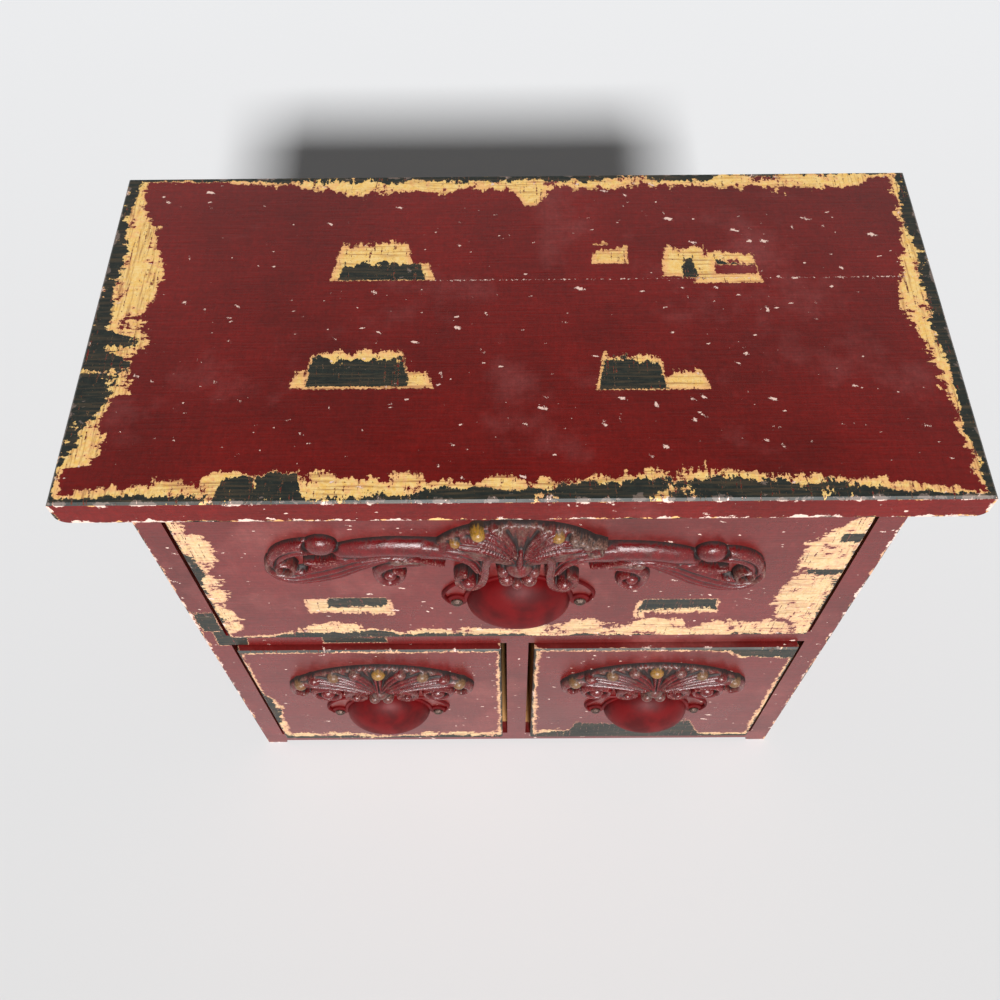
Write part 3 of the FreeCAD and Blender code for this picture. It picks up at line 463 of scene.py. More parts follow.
def smooth_line(points, step):
    """A smooth line through the points: a cubic between each pair whose slope at a point is that of
    the line joining its neighbours, sampled about every step, with its tangents and its shares."""
    p = np.array(points, float)
    q = np.vstack([2 * p[0] - p[1], p, 2 * p[-1] - p[-2]])
    runs = []
    for i in range(len(p) - 1):
        a, b, c, d = q[i:i + 4]
        n = max(2, int(math.ceil(np.linalg.norm(c - b) / step)))
        t = np.arange(n)[:, None] / n
        runs.append(0.5 * (2 * b + (c - a) * t + (2 * a - 5 * b + 4 * c - d) * t**2
                           + (3 * b - a - 3 * c + d) * t**3))
    line = np.vstack(runs + [p[-1:]])
    knots = np.concatenate([np.arange(len(r)) / len(r) + i for i, r in enumerate(runs)] + [[len(p) - 1]])
    tangent = np.gradient(line, axis=0)
    tangent /= np.linalg.norm(tangent, axis=1)[:, None] + 1e-9
    return line, tangent, knots


class Relief:
    """Heights above a drawer front on a grid of x and z, in mm, raised stroke by stroke."""

    def __init__(self, reach_x, low_z, high_z, step):
        self.step = step
        self.x = np.arange(-reach_x, reach_x + step, step)
        self.z = np.arange(low_z, high_z + step, step)
        self.height = np.full((len(self.z), len(self.x)), -4.0)
        self.gilt = np.zeros_like(self.height)
        self.ash = np.zeros_like(self.height)

    def window(self, low, high):
        """The part of the grid between two corners, as slices and coordinates."""
        i0, i1 = np.searchsorted(self.x, (low[0], high[0]))
        j0, j1 = np.searchsorted(self.z, (low[1], high[1]))
        where = (slice(j0, j1), slice(i0, i1))
        return where, *np.meshgrid(self.x[i0:i1], self.z[j0:j1])

    def raise_to(self, where, height, gilt=0, ash=0):
        """The higher of the two surfaces stays, with its finish."""
        over = height > self.height[where]
        self.height[where] = np.where(over, height, self.height[where])
        self.gilt[where] = np.where(over, gilt, self.gilt[where])
        self.ash[where] = np.where(over, ash, self.ash[where])

    def fan(self, foot, rim, edge, middle):
        """A fan-shaped plate with 46 faint ribs: along each ray from its foot the height falls from
        middle to edge at the rim, a closed line given by its points, and drops sheer past it."""
        line = smooth_line(rim + rim[:1], 1)[0] - foot
        turn = np.arctan2(line[:, 1], line[:, 0])
        order = np.argsort(turn)
        where, x, z = self.window(line.min(0) + foot - 1, line.max(0) + foot + 1)
        away, bearing = np.hypot(x - foot[0], z - foot[1]), np.arctan2(z - foot[1], x - foot[0])
        reach = np.interp(bearing, turn[order], np.hypot(*line.T)[order], period=2 * math.pi)
        share = np.clip(away / reach, 0, 1)
        rib = 0.25 * np.cos(bearing * 46)
        inner = edge + (middle - edge) * (1 - share) + rib * share
        self.raise_to(where, np.where(away < reach, inner, edge - (away - reach) * 7), ash=0.5)

    def stroke(self, points, halves, crowns, kind="round", ash=0, reeds=3):
        """A raised stroke: across it the height follows its kind's profile, from its middle line out to
        its half width, and past that it falls off steeply. halves and crowns are given point by point.
        round is half an ellipse; reeded has so many half waves side by side; ribbon has a raised line
        at 0.72 of its half width; leaf has a groove along its middle."""
        line, tangent, knots = smooth_line(points, self.step * 0.9)
        half = np.interp(knots, np.linspace(0, len(points) - 1, len(halves)), halves)
        crown = np.interp(knots, np.linspace(0, len(points) - 1, len(crowns)), crowns)
        reach = max(halves) + 1.5
        where, x, z = self.window(line.min(0) - reach, line.max(0) + reach)
        height = np.full(x.shape, -9.0)
        for rows in range(0, x.shape[0], 24):
            part = (slice(rows, rows + 24), slice(None))
            away = np.hypot(x[part][..., None] - line[:, 0], z[part][..., None] - line[:, 1])
            nearest = away.argmin(-1)
            dx, dz = x[part] - line[nearest, 0], z[part] - line[nearest, 1]
            along = dx * tangent[nearest, 0] + dz * tangent[nearest, 1]
            across = dx * -tangent[nearest, 1] + dz * tangent[nearest, 0]
            ends = (nearest == 0) | (nearest == len(line) - 1)
            off = np.hypot(across, np.where(ends, along, 0))
            w, c = half[nearest], crown[nearest]
            ratio = np.clip(off / w, 0, 1)
            signed = np.clip(across / w, -1, 1)
            dome = np.sqrt(1 - ratio**2)
            if kind == "round":
                shape = dome
            elif kind == "reeded":
                reed = np.abs(np.sin(math.pi * reeds * (signed + 1) / 2))
                shape = dome**0.5 * (0.62 + 0.38 * np.sqrt(reed))
            elif kind == "ribbon":
                shape = dome**0.35 * (0.8 + 0.2 * np.exp(-((ratio - 0.72) / 0.2)**2))
            elif kind == "leaf":
                shape = dome**0.6 * (1 - 0.22 * np.exp(-(signed / 0.16)**2))
            height[part] = np.where(off < w, c * shape, -(off - w) * 5)
        self.raise_to(where, height, ash=ash)

    def oval(self, centre, radii, reach):
        """The part of the grid round an oval, and each point's distance from its middle in radii."""
        (cx, cz), (rx, rz) = centre, radii
        where, x, z = self.window((cx - rx * reach, cz - rz * reach), (cx + rx * reach, cz + rz * reach))
        return where, np.hypot((x - cx) / rx, (z - cz) / rz)

    def berry(self, centre, radii, top, gilt=0, ash=0, power=2, moat=0):
        """A boss of an oval outline: its height is top times the root of one less the distance from the
        middle to the power, so 2 gives a ball and 4 a button. A moat clears what lies round it."""
        where, away = self.oval(centre, radii, 1.5)
        if moat:
            self.height[where] = np.minimum(self.height[where], moat + np.clip(away - 1.1, 0, None) * 30)
        rise = min(*radii, top)
        ball = np.sqrt(np.clip(1 - away**power, 0, None))
        height = top - rise + np.where(away < 1, rise * ball, (1 - away) * 20)
        self.raise_to(where, height, gilt, ash)

    def pit(self, centre, radii, floor):
        """A hole between leaves: down to its floor within 0.8 of its radii, then steeply up."""
        where, away = self.oval(centre, radii, 1.6)
        self.height[where] = np.minimum(self.height[where], floor + np.clip(away - 0.8, 0, None) * 22)

    def blurred(self, field, reach):
        """The field averaged over about reach mm, by box averages along each axis."""
        n = max(1, int(round(reach / self.step)))
        kernel = np.ones(2 * n + 1) / (2 * n + 1)
        for _ in range(2):
            field = np.apply_along_axis(np.convolve, 0, field, kernel, "same")
            field = np.apply_along_axis(np.convolve, 1, field, kernel, "same")
        return field

    def piece(self, name, centre, face, tilt, material, body, node, ashen, painted_shade_floor, hand=1):
        """The relief as a closed mesh glued on the plane y = face, turned by tilt degrees, low end right.
        ashen: how far out, in mm, the walls that face upwards are turned grey. painted_shade_floor: how much
        painted shade lies all over the carving, on top of the dark in its hollows. hand: -1 for its mirror
        image. Each point of the grid goes out from the plane by its height, and what lies behind the plane is
        cut off and closed."""
        height = self.height
        ground = np.maximum(height, 0)
        # painted shade with the umber glaze: the hollows, the low ground next to the front and, by
        # painted_shade_floor, the whole carving are darkened
        lift = ground - self.blurred(ground, 1.2)
        hollow_glaze_and_shade = np.maximum(np.clip(painted_shade_floor - lift / 0.8, 0, 1), np.clip(1 - ground / 1.4, 0, 1) * 0.6)
        x, z = np.meshgrid(self.x, self.z)
        # walls that face upwards, within ashen of the middle and above it, are turned grey
        upward = np.clip(-np.gradient(ground, self.step, axis=0) / 3, 0, 1)
        upward = self.blurred(upward, 0.5) * np.clip((ashen - np.abs(x)) / 6, 0, 1) * (z > 0)
        ash = np.clip(self.blurred(self.ash, 0.5) + upward * 0.3, 0, 1)
        turn = math.radians(tilt)
        place = np.stack([centre[0] + hand * x * math.cos(turn) + z * math.sin(turn),
                          np.full(x.shape, face) - height,
                          centre[1] - hand * x * math.sin(turn) + z * math.cos(turn)], -1).reshape(-1, 3) * MM
        rows, cols = x.shape
        number = np.arange(rows * cols).reshape(rows, cols)
        used = np.maximum.reduce([height[:-1, :-1], height[1:, :-1], height[:-1, 1:], height[1:, 1:]]) > 0
        quads = np.stack([number[:-1, :-1], number[:-1, 1:], number[1:, 1:], number[1:, :-1]], -1)[used]
        if hand < 0:
            quads = quads[:, ::-1]
        keep, quads = np.unique(quads, return_inverse=True)
        quads = quads.reshape(-1, 4)
        piece = mesh_piece(name, place[keep], quads.tolist(), material, body, node)
        mesh = piece.data
        # how pale the ridges turn: wear and painted glints
        ridge = np.clip(lift * 0.7, 0, 0.6)
        for key, field in (("hollow_glaze_and_shade", hollow_glaze_and_shade), ("gilt", self.gilt), ("ash", ash), ("ridge", ridge)):
            attribute = mesh.attributes.new(key, "FLOAT", "POINT")
            attribute.data.foreach_set("value", field.reshape(-1)[keep].astype(np.float32))
        work = bmesh.new()
        work.from_mesh(mesh)
        every = list(work.verts) + list(work.edges) + list(work.faces)
        bmesh.ops.bisect_plane(work, geom=every, dist=1e-7, plane_co=(0, face * MM, 0), plane_no=(0, 1, 0),
                               clear_outer=True)
        for f in work.faces:
            f.smooth = True
        rim = [edge for edge in work.edges if edge.is_boundary]
        filled = bmesh.ops.triangle_fill(work, use_beauty=True, use_dissolve=False, edges=rim)
        for f in filled["geom"]:
            if isinstance(f, bmesh.types.BMFace):
                f.smooth = False
        for edge in rim:
            edge.smooth = False
        work.to_mesh(mesh)
        work.free()
        return piece


# Carvings. x and z about the middle of the carving, right half: path, half widths, crowns, kind,
# grey glaze and, where the stroke is reeded, how many reeds.
SWAG_RIGHT = [
    # arm, and the bead along its lower edge
    ([(24, 2), (36, 2.6), (47, 2.4), (57, 0.6), (64, -1.4)],
     [5.2, 5.2, 5.2, 5, 4.2], [5.6, 5, 4.9, 4.8, 3.8], "round", 0.1),
    ([(66, -4.2), (61, -4.8), (57, -3), (52, -1.4), (47.5, -1), (41, -2.2), (36.5, -4), (32, -7.4),
      (27.5, -9.4)],
     [0.9] * 9, [3.6, 4.4, 4.9, 5.1, 5.1, 5, 4.6, 3.6, 3.4], "round", 0.2),
    # upper leaf round the end, the spiral inside it, and the long lower leaf
    ([(70, 0), (76.5, 1.4), (82.6, 0), (87.2, -4), (89.2, -9.6), (88.6, -14.4)],
     [3, 4.3, 3.9, 3.5, 3.1, 2.2], [3.4, 4.3, 4.4, 4.4, 4.2, 3.4], "reeded", 0.15, 2),
    ([(91.4, -7.8), (92.2, -12.4), (89.8, -16.4), (85.2, -16.8), (82.6, -13.4), (83.8, -9.6),
      (87.2, -8.8), (88.8, -11.6), (87.2, -13.4)],
     [1.3, 1.5, 1.5, 1.4, 1.3, 1.2, 1.1, 1, 0.8], [4, 4.6, 4.8, 4.8, 4.9, 5, 5.1, 5.2, 5.3], "round", 0.45),
    ([(45, -4.4), (57, -8.6), (68, -15.4), (79, -20.2), (87, -20.4), (91.8, -16.2)],
     [2.4, 4.6, 5.9, 5.6, 4.4, 2.4], [2.8, 4, 4.4, 4.3, 4, 3.4], "reeded", 0.05, 4),
    ([(60, -4.4), (66, -7.6), (73, -9.6), (78, -9)],
     [1.8, 2.4, 2.2, 1.2], [4.2, 4.6, 4.4, 3.6], "leaf", 0.2),
    # small leaves beside the curl that hangs under the arm
    ([(58.5, -6.6), (55, -9.4), (54.4, -13.2)], [1.8, 2.7, 1.3], [3.4, 3.2, 2.2], "leaf", 0.75),
    ([(41.5, -6.4), (37.6, -6.8), (34.2, -9.2)], [2, 2.2, 1.4], [4, 3.6, 3], "leaf", 0.6),
    # root of the arm: ridges that run out of the lower volute
    ([(14, -9), (16.8, -2), (21.4, 1.6), (26.8, 2.8), (34, 2.4)],
     [2.4, 3.2, 3.9, 4.4, 4.9], [6.4, 6.4, 6.2, 5.8, 5.2], "reeded", 0.2, 3),
    # horseshoe that ends in the volute
    ([(2.8, 3), (5, 5.2), (8.4, 5.2), (11, 2.8), (12, -2.4), (12, -10.2), (13.4, -18.2), (17.2, -21.6),
      (21.2, -19.4), (21.8, -15), (19.4, -12.8)],
     [1.2, 1.5, 1.6, 1.7, 1.7, 1.7, 1.9, 2, 1.8, 1.5, 1.1],
     [9.2, 9.2, 8.8, 8.4, 8, 7.4, 7, 7, 6.8, 6.6, 6.6], "ribbon", 0.35),
    # reeded leaves of the palmette
    ([(1.6, 7.6), (4, 13.2), (7.4, 17.8), (10.6, 19)],
     [0.9, 1.6, 2, 1.3], [9.2, 7.8, 6.2, 5], "reeded", 0.2, 4),
    ([(2.2, 7.4), (6.2, 12.6), (10.8, 16.4), (14.6, 16.8)],
     [0.9, 1.6, 2, 1.4], [9.2, 7.9, 6.4, 5.2], "reeded", 0.1, 4),
    ([(3, 6.8), (7.6, 10.6), (13.7, 13.2), (20.6, 12.2)],
     [0.9, 1.7, 2.1, 1.5], [9, 7.9, 6.6, 5.2], "reeded", 0.2, 4),
    ([(3.8, 6), (9.2, 7.8), (15.5, 9), (23.4, 8.6), (29.4, 5.2)],
     [1, 1.8, 2.3, 2.3, 1.6], [8.8, 7.8, 6.8, 5.8, 4.8], "reeded", 0.15, 4),
]
CREST_RIGHT = [
    # leaf at the end of the arch, curled under
    ([(30, 6.4), (36.4, 4.4), (40.6, -0.6), (40.8, -6), (37.2, -8.8), (34.6, -6.2)],
     [2.4, 2.6, 2.3, 2, 1.7, 1.1], [4.8, 4.8, 4.4, 4.2, 4, 4], "round", 0.3),
    # petals of the shell
    ([(1.5, 6), (5, 11.2), (9.4, 15.4)], [1.2, 2.3, 2.6], [8.6, 7, 5.4], "reeded", 0.15, 3),
    ([(3, 5.2), (11, 10.2), (19, 13)], [1.3, 2.5, 2.8], [8.4, 6.8, 5.2], "reeded", 0.1, 3),
    ([(4.5, 4), (15.5, 7.4), (27.4, 9.2)], [1.4, 2.7, 2.8], [8.2, 6.6, 5.2], "reeded", 0.15, 3),
    ([(6, 2.6), (19, 3.8), (34, 4.6)], [1.5, 2.8, 2.6], [7.8, 6.2, 5], "reeded", 0.1, 3),
    # curled bud that hangs from the arch
    ([(15.5, 2), (24.5, 0.4), (31.2, -3.8), (31.8, -9.8), (26.8, -14), (21, -12), (20, -6.6), (24.4, -3.8)],
     [1.8, 2.1, 2, 1.9, 1.8, 1.7, 1.5, 1.1], [5.4, 5.2, 4.8, 4.6, 4.4, 4.4, 4.4, 4.4], "round", 0),
    # volute beside the knot
    ([(3.4, 2.6), (9, 2.2), (14.4, -1.6), (15.4, -7.4), (11.6, -10.8), (8, -8), (9.8, -4.8)],
     [1.6, 1.9, 2, 1.9, 1.7, 1.5, 1.1], [8.6, 8, 7.2, 6.8, 6.6, 6.6, 6.6], "ribbon", 0.3),
]


def both_sides(relief, table):
    """Every stroke of the right half, and the same on the left."""
    for path, halves, crowns, kind, ash, *reeds in table:
        for hand in (1, -1):
            relief.stroke([(hand * x, z) for x, z in path], halves, crowns, kind, ash, *reeds)


def carve_swag():
    """The wide drawer's carving: a palmette over two horseshoes, with an arm and a scroll each side."""
    relief = Relief(98, -36, 26, 0.34)
    arch = [(31.5, 1.2), (30.4, 6.4), (24.3, 13.4), (16.5, 18.1), (9, 20.1), (0, 20.8)]
    rim = arch + [(-x, z) for x, z in arch[-2::-1]] + [(-20, -2.2), (0, -4.4), (20, -2.2)]
    relief.fan((0, 1), rim, 2.8, 8.2)
    both_sides(relief, SWAG_RIGHT)
    for hand in (1, -1):
        relief.pit((hand * 77.6, -5.2), (2.8, 1.7), 0.4)
        relief.pit((hand * 80, -14.4), (2.6, 1.8), 0.4)
        relief.berry((70 if hand > 0 else -71.6, 3), (5.9, 5.2), 4.8, ash=0.15, power=3, moat=1.6)
        # the curl that hangs under the arm, a little nearer the middle on the right
        at = 47.4 if hand < 0 else 43.8
        path = ((-10.9, -8.8), (-4.9, -9.4), (0.8, -11.2), (4.4, -16.2), (3.6, -22.6), (-0.2, -24.6),
                (-3.8, -21.6), (-4.2, -17), (-1.8, -15))
        relief.stroke([(hand * (at + x), z) for x, z in path], [1.8, 2.2, 2.4, 2.4, 2.2, 2, 1.8, 1.6, 1.2],
                      [3.4, 3.6] + [3.8] * 7, ash=0.2)
        relief.berry((hand * at, -18), (2.6, 2.4), 4.6)
        relief.berry((hand * 44.6, -5.6), (2.6, 2), 4.6, ash=0.7, power=4)
        relief.berry((hand * 18, -17.2), (2.9, 2.7), 8.2)
        relief.berry((hand * 4.2, -9.4), (3, 2.9), 10.4, ash=0.3)
        relief.berry((hand * 5.6, -4.4), (2.2, 2.4), 9.4, ash=0.3)
    relief.stroke([(0, -2), (0, 4), (0, 9.4)], [2.6, 2.2, 1.4], [9.6, 9.4, 8], ash=0.1)
    # the knot, then yellow berries and a cluster of ashen ones along the rim
    for x, z, wide, tall, top, gilt, ash in (
            (0, -1.6, 5, 4.2, 10.6, 0, 0.3), (0, -12.6, 2.2, 2.2, 10.2, 0, 0.3),
            (-15.4, 17, 2.6, 2.5, 6.8, 1, 0), (-23.4, 10.4, 1.9, 1.8, 5.8, 0.7, 0),
            (12.8, 16.4, 2.3, 2.2, 6.6, 0.75, 0.5), (18.6, 15.2, 1.8, 1.7, 6.2, 0, 0.95),
            (21.6, 13.4, 1.8, 1.7, 6.2, 0, 0.95), (19.4, 12.2, 1.8, 1.7, 6.2, 0, 0.95),
            (23.4, 11, 1.8, 1.7, 6.2, 0, 0.95)):
        relief.berry((x, z), (wide, tall), top, gilt, ash)
    relief.stroke([(30.4, 9), (26.6, 10.4), (24.2, 7.6), (26.2, 4.6), (29.4, 5.2), (29.2, 7.4)],
                  [1, 1.2, 1.2, 1.1, 1, 0.7], [5, 5.6] + [5.8] * 4, ash=0.8)
    return relief


def carve_crest():
    """A small drawer's carving: a shell of lobed petals over two volutes, with a curled bud each side."""
    relief = Relief(44, -20, 24, 0.3)
    arch = [(40.5, 1), (38.6, 5.4), (33, 10), (25.2, 14.6), (17, 17.6), (8.6, 19.4), (0, 20.2)]
    rim = arch + [(-x, z) for x, z in arch[-2::-1]] + [(-24, 0.6), (0, -3), (24, 0.6)]
    relief.fan((0, 3), rim, 2.4, 6.8)
    both_sides(relief, CREST_RIGHT)
    for hand in (1, -1):
        for x, z, gilt, ash in ((10.2, 16, 0, 0.3), (20.2, 13.2, 0.25, 0.75), (29.6, 9.2, 0, 0.1),
                                (36.6, 4.2, 0.3, 0.7)):
            relief.berry((hand * x, z), (3, 2.7), 6, gilt, ash)
        relief.berry((hand * 26, -8.6), (3.6, 3.2), 5.4)
        relief.berry((hand * 11.8, -6.4), (2, 2), 7.6, ash=0.2)
        relief.berry((hand * 3, -4.6), (2.7, 2.6), 9.4, ash=0.6)
    relief.stroke([(0, 1), (0, 8), (0, 15)], [2.2, 2.2, 2.8], [9, 7.8, 6], "leaf", ash=0.2)
    relief.berry((0.6, 17), (3.2, 2.8), 6.4, gilt=0.8, ash=0.4)
    relief.berry((0, 1), (3.8, 3.6), 9.6, ash=0.6)
    return relief


# Cup pulls, in mm: the dome, and how far out from its middle the ears' screws are
CUP_RADIUS, CUP_PROJECTION, CUP_WALL = 20.5, 13.2, 1.6
EAR_PLACE = 24.4
# Middle line of the arm to an ear: out from the dome's shoulder and down
ARM_LINE = [(14.6, 17), (21.5, 16.5), (27, 11.5), (29.6, 5), (27.6, -0.6)]
# How far out from the middle, and from the drawer front: the flange's band, and the round ear's plate
FLANGE = [(CUP_RADIUS + out, lift) for out, lift in (
    (-0.8, 0), (1.4, 0), (1.4, 0.8), (1.15, 1.12), (0.8, 1.2), (-0.8, 1.2))]
EAR_PLATE = [(0.01, 1.2), (3, 1.2), (3.6, 1.15), (4, 0.9), (4.1, 0.5), (4.1, 0)]


def cup_pull(name, x, face, rim_z, material, body, node):
    """A cup pull: a quarter of an ellipsoid, open below, with a rolled lip; its rows run from the crown
    down the outside, round the lip and up the inside, its columns from ear to ear. Then a flat flange,
    its profile carried round the dome, two thin arms and two round ears."""
    points, faces = [], []

    def sheet(grid, wrap_rows=False, wrap_cols=False):
        """Adds a grid of points, joined into quads."""
        first = sum(len(p) for p in points)
        rows, cols = grid.shape[:2]
        points.append(grid.reshape(-1, 3))
        number = first + np.arange(rows * cols).reshape(rows, cols)
        if wrap_rows:
            number = np.vstack([number, number[:1]])
        if wrap_cols:
            number = np.hstack([number, number[:, :1]])
        quads = np.stack([number[:-1, :-1], number[1:, :-1], number[1:, 1:], number[:-1, 1:]], -1)
        faces.append(quads.reshape(-1, 4))

    def shell(radius, projection, turns):
        """The outside or the inside of the dome, as (half width, projection, height) at each turn."""
        return [(radius * math.cos(t), projection * math.cos(t), radius * math.sin(t)) for t in turns]

    around = np.linspace(0, math.pi, 61)
    rise = np.linspace(math.pi / 2, 0, 25)
    lip = []
    for t in np.linspace(0, math.pi, 9)[1:-1]:
        inward = CUP_WALL * ((1 - math.cos(t)) / 2)
        lip.append((CUP_RADIUS - inward, CUP_PROJECTION - inward, -math.sin(t) * CUP_WALL * 0.5))
    rows = np.array(shell(CUP_RADIUS, CUP_PROJECTION, rise) + lip
                    + shell(CUP_RADIUS - CUP_WALL, CUP_PROJECTION - CUP_WALL, rise[::-1]))[:, None]
    sheet(np.stack([rows[..., 0] * np.cos(around), -rows[..., 1] * np.sin(around),
                    rows[..., 2] + 0 * around], -1))
    # flange: a flat band round the dome with a rounded outer corner
    band = np.array(FLANGE)[:, None]
    sheet(np.stack([band[..., 0] * np.cos(around), -band[..., 1] + 0 * around,
                    band[..., 0] * np.sin(around)], -1), wrap_rows=True)
    for hand in (-1, 1):
        # arm: a thin half-round bead that thickens a little towards its ear
        line, tangent, knots = smooth_line(ARM_LINE, 0.6)
        ring = np.linspace(0, 2 * math.pi, 13)[:-1]
        wide = 0.6 + 0.25 * knots[:, None] / 4
        normal = np.stack([-tangent[:, 1], tangent[:, 0]], -1)
        spread = line[:, None] + normal[:, None] * (wide * np.cos(ring))[..., None]
        lift = np.maximum(wide * 2 * np.sin(ring), 0)
        sheet(np.stack([hand * spread[..., 0], -lift, spread[..., 1]], -1), wrap_cols=True)
        # ear: a flat round plate with a softened edge, a little taller above the screw
        plate = np.array(EAR_PLATE)[:, None]
        spin = np.linspace(0, 2 * math.pi, 37)
        drop = np.where(np.sin(spin) < 0, 1, 1.15)
        sheet(np.stack([hand * EAR_PLACE + plate[..., 0] * np.cos(spin), -plate[..., 1] + 0 * spin,
                        plate[..., 0] * np.sin(spin) * drop], -1))
    place = np.vstack(points) + np.array([x, face, rim_z])
    piece = mesh_piece(name, place * MM, np.vstack(faces).tolist(), material, body, node)
    work = bmesh.new()
    work.from_mesh(piece.data)
    bmesh.ops.remove_doubles(work, verts=work.verts, dist=1e-6)
    bmesh.ops.recalc_face_normals(work, faces=work.faces)
    for f in work.faces:
        f.smooth = True
    for edge in work.edges:
        edge.smooth = not edge.is_boundary and edge.calc_face_angle(0) < math.radians(40)
    work.to_mesh(piece.data)
    work.free()
    return piece


# Where each board is rubbed through. Margins: share along the edge, width of the cream, width of the
# green. Patches: as rubbed_paint takes them.
TOP_MARGINS = {
    "low_u": [(0, 9, 4), (0.022, 3, 1.6), (0.09, 2.5, 1.4), (0.1, 12, 2.5), (0.133, 13, 5), (0.228, 11, 8),
        (0.295, 15.5, 14), (0.377, 18, 16), (0.415, 18, 8.5), (0.43, 18.5, 15.5), (0.461, 18.5, 15),
        (0.485, 18, 6), (0.593, 21, 5.5), (0.661, 22, 5.5), (0.77, 16, 5), (0.864, 10.5, 5), (0.96, 7.5, 5),
        (1, 7.5, 6)],
    "high_u": [(0, 4, 2.8), (0.1, 5, 3.6), (0.3, 7, 4.2), (0.42, 9, 4.6), (0.485, 13, 4.8), (0.6, 12, 4.8),
        (0.69, 10, 5.2), (0.8, 7, 5), (0.9, 6, 4.6), (1, 7, 4.4)],
    "low_v": [(0, 3, 2), (0.05, 5.6, 2.6), (0.13, 7.8, 2.8), (0.178, 9.6, 3), (0.182, 10, 10.6),
        (0.262, 11, 10.6), (0.268, 11.6, 3), (0.33, 9.6, 3), (0.41, 8, 3.2), (0.43, 8, 5.4),
        (0.55, 7.4, 5.4), (0.6, 8.8, 7.6), (0.67, 11.4, 8.4), (0.76, 10, 7.8), (0.84, 8.6, 6.2),
        (0.9, 6, 3.8), (0.95, 4, 2.4), (1, 3, 1.8)],
    "high_v": [
        (0, 2.5, 1.6), (0.1, 2.8, 2.4), (0.18, 3.2, 2.8), (0.215, 5, 3), (0.26, 9.2, 3.2), (0.4, 9, 3.6),
        (0.44, 7, 3.6), (0.53, 9.4, 3.4), (0.58, 7.6, 3.4), (0.7, 6.4, 3.4), (0.755, 7, 3.8), (0.765, 7, 1),
        (0.87, 8.6, 0.8), (0.93, 7, 0.8), (0.965, 2.6, 0.8), (1, 2, 0.8)],
}
TOP_PATCHES = [
    (-67.5, -37, 20.6, 38.5, "cream", 0.16), (-42, -30.2, 20.6, 29, "cream", 0.25),
    (-65, -33, 20.9, 28, "green", 0.3), (27, 41, 28, 35, "cream", 0.1), (27, 34, 37.2, 38.2, "cream", 0),
    (52.4, 70.5, 21.6, 36, "cream", 0.15), (64, 88, 18.2, 33, "cream", 0.1),
    (60, 65, 20.9, 31, "green", 0.1), (71.6, 87, 22.4, 28, "red", 0.1), (73, 86, 27.2, 28.2, "green", 0),
    (-78, -71, -27.6, -20.5, "cream", 0.3), (-73, -38, -28.1, -12.6, "cream", 0.14),
    (-40, -29.5, -28.1, -20.8, "cream", 0.3), (-72.4, -37.6, -27.1, -16.2, "green", 0.16),
    (26.4, 51, -29.3, -15.2, "cream", 0.16), (47, 65.5, -29.3, -21.8, "cream", 0.5),
    (27, 50, -29.1, -17.4, "green", 0.2), (3, 8, 58, 70, "cream", -0.5),
    (-143, -128, -10.8, -9.4, "cut", 0), (-150, -130, -20.4, -19.4, "cut", 0),
]
WIDE_MARGINS = {
    "low_u": [
        (0, 3, 1.2), (0.04, 2.2, 1.4), (0.082, 8.4, 1.8), (0.14, 8, 1.6), (0.241, 6, 1.6), (0.291, 7, 1.6),
        (0.375, 9, 1.6), (0.458, 9.5, 3.4), (0.542, 7, 3), (0.609, 10, 2.6), (0.692, 11.5, 0.8),
        (0.742, 9, 0.8), (0.826, 4.5, 0.8), (1, 2.4, 0.8)],
    "high_u": [
        (0, 13, 1.4), (0.12, 14, 1.4), (0.19, 17, 0.8), (0.25, 20, 0.8), (0.5, 20, 0.8), (0.6, 18.5, 0.8),
        (0.7, 17, 0.8), (0.76, 12.6, 0.8), (0.83, 6.4, 0.8), (0.9, 4, 0.8), (1, 2.6, 0.8)],
    "high_v": [(0, 1.2, 0.4), (1, 1.2, 0.4)],
    "low_v": [(0, 2, 1.4), (0.07, 3, 1.4), (0.09, 5, 3), (0.12, 8, 5.6), (0.135, 12, 6), (0.175, 13.4, 5.6),
        (0.21, 13.4, 6), (0.24, 10, 5.6), (0.28, 7.6, 5), (0.32, 7.2, 4.6), (0.355, 9.6, 4.6),
        (0.39, 8, 4.4), (0.43, 10, 3.4), (0.47, 8.6, 3), (0.52, 8.6, 2), (0.57, 14, 1.8), (0.6, 15.5, 1.4),
        (0.64, 17, 1.4), (0.68, 11.5, 1.6), (0.72, 17.5, 1.4), (0.77, 17, 1), (0.8, 10, 1.2),
        (0.84, 16.5, 1), (0.9, 14.5, 1), (0.95, 13, 1), (1, 12, 1)],
}
WIDE_PATCHES = [
    (-85.6, -52, 170.6, 184, "cream", 0), (-54, -50.4, 168.4, 183, "cream", 0),
    (-76.6, -51.6, 176.6, 184.8, "green", 0.12), (47.6, 52, 165, 178.4, "cream", 0),
    (47.6, 81.4, 168.6, 180.6, "cream", 0.1), (49.2, 80.6, 172.6, 181.6, "green", 0.16),
    (115.4, 123.8, 227.6, 234.2, "green", 0), (108.6, 123.8, 202.4, 206.6, "green", 0),
]
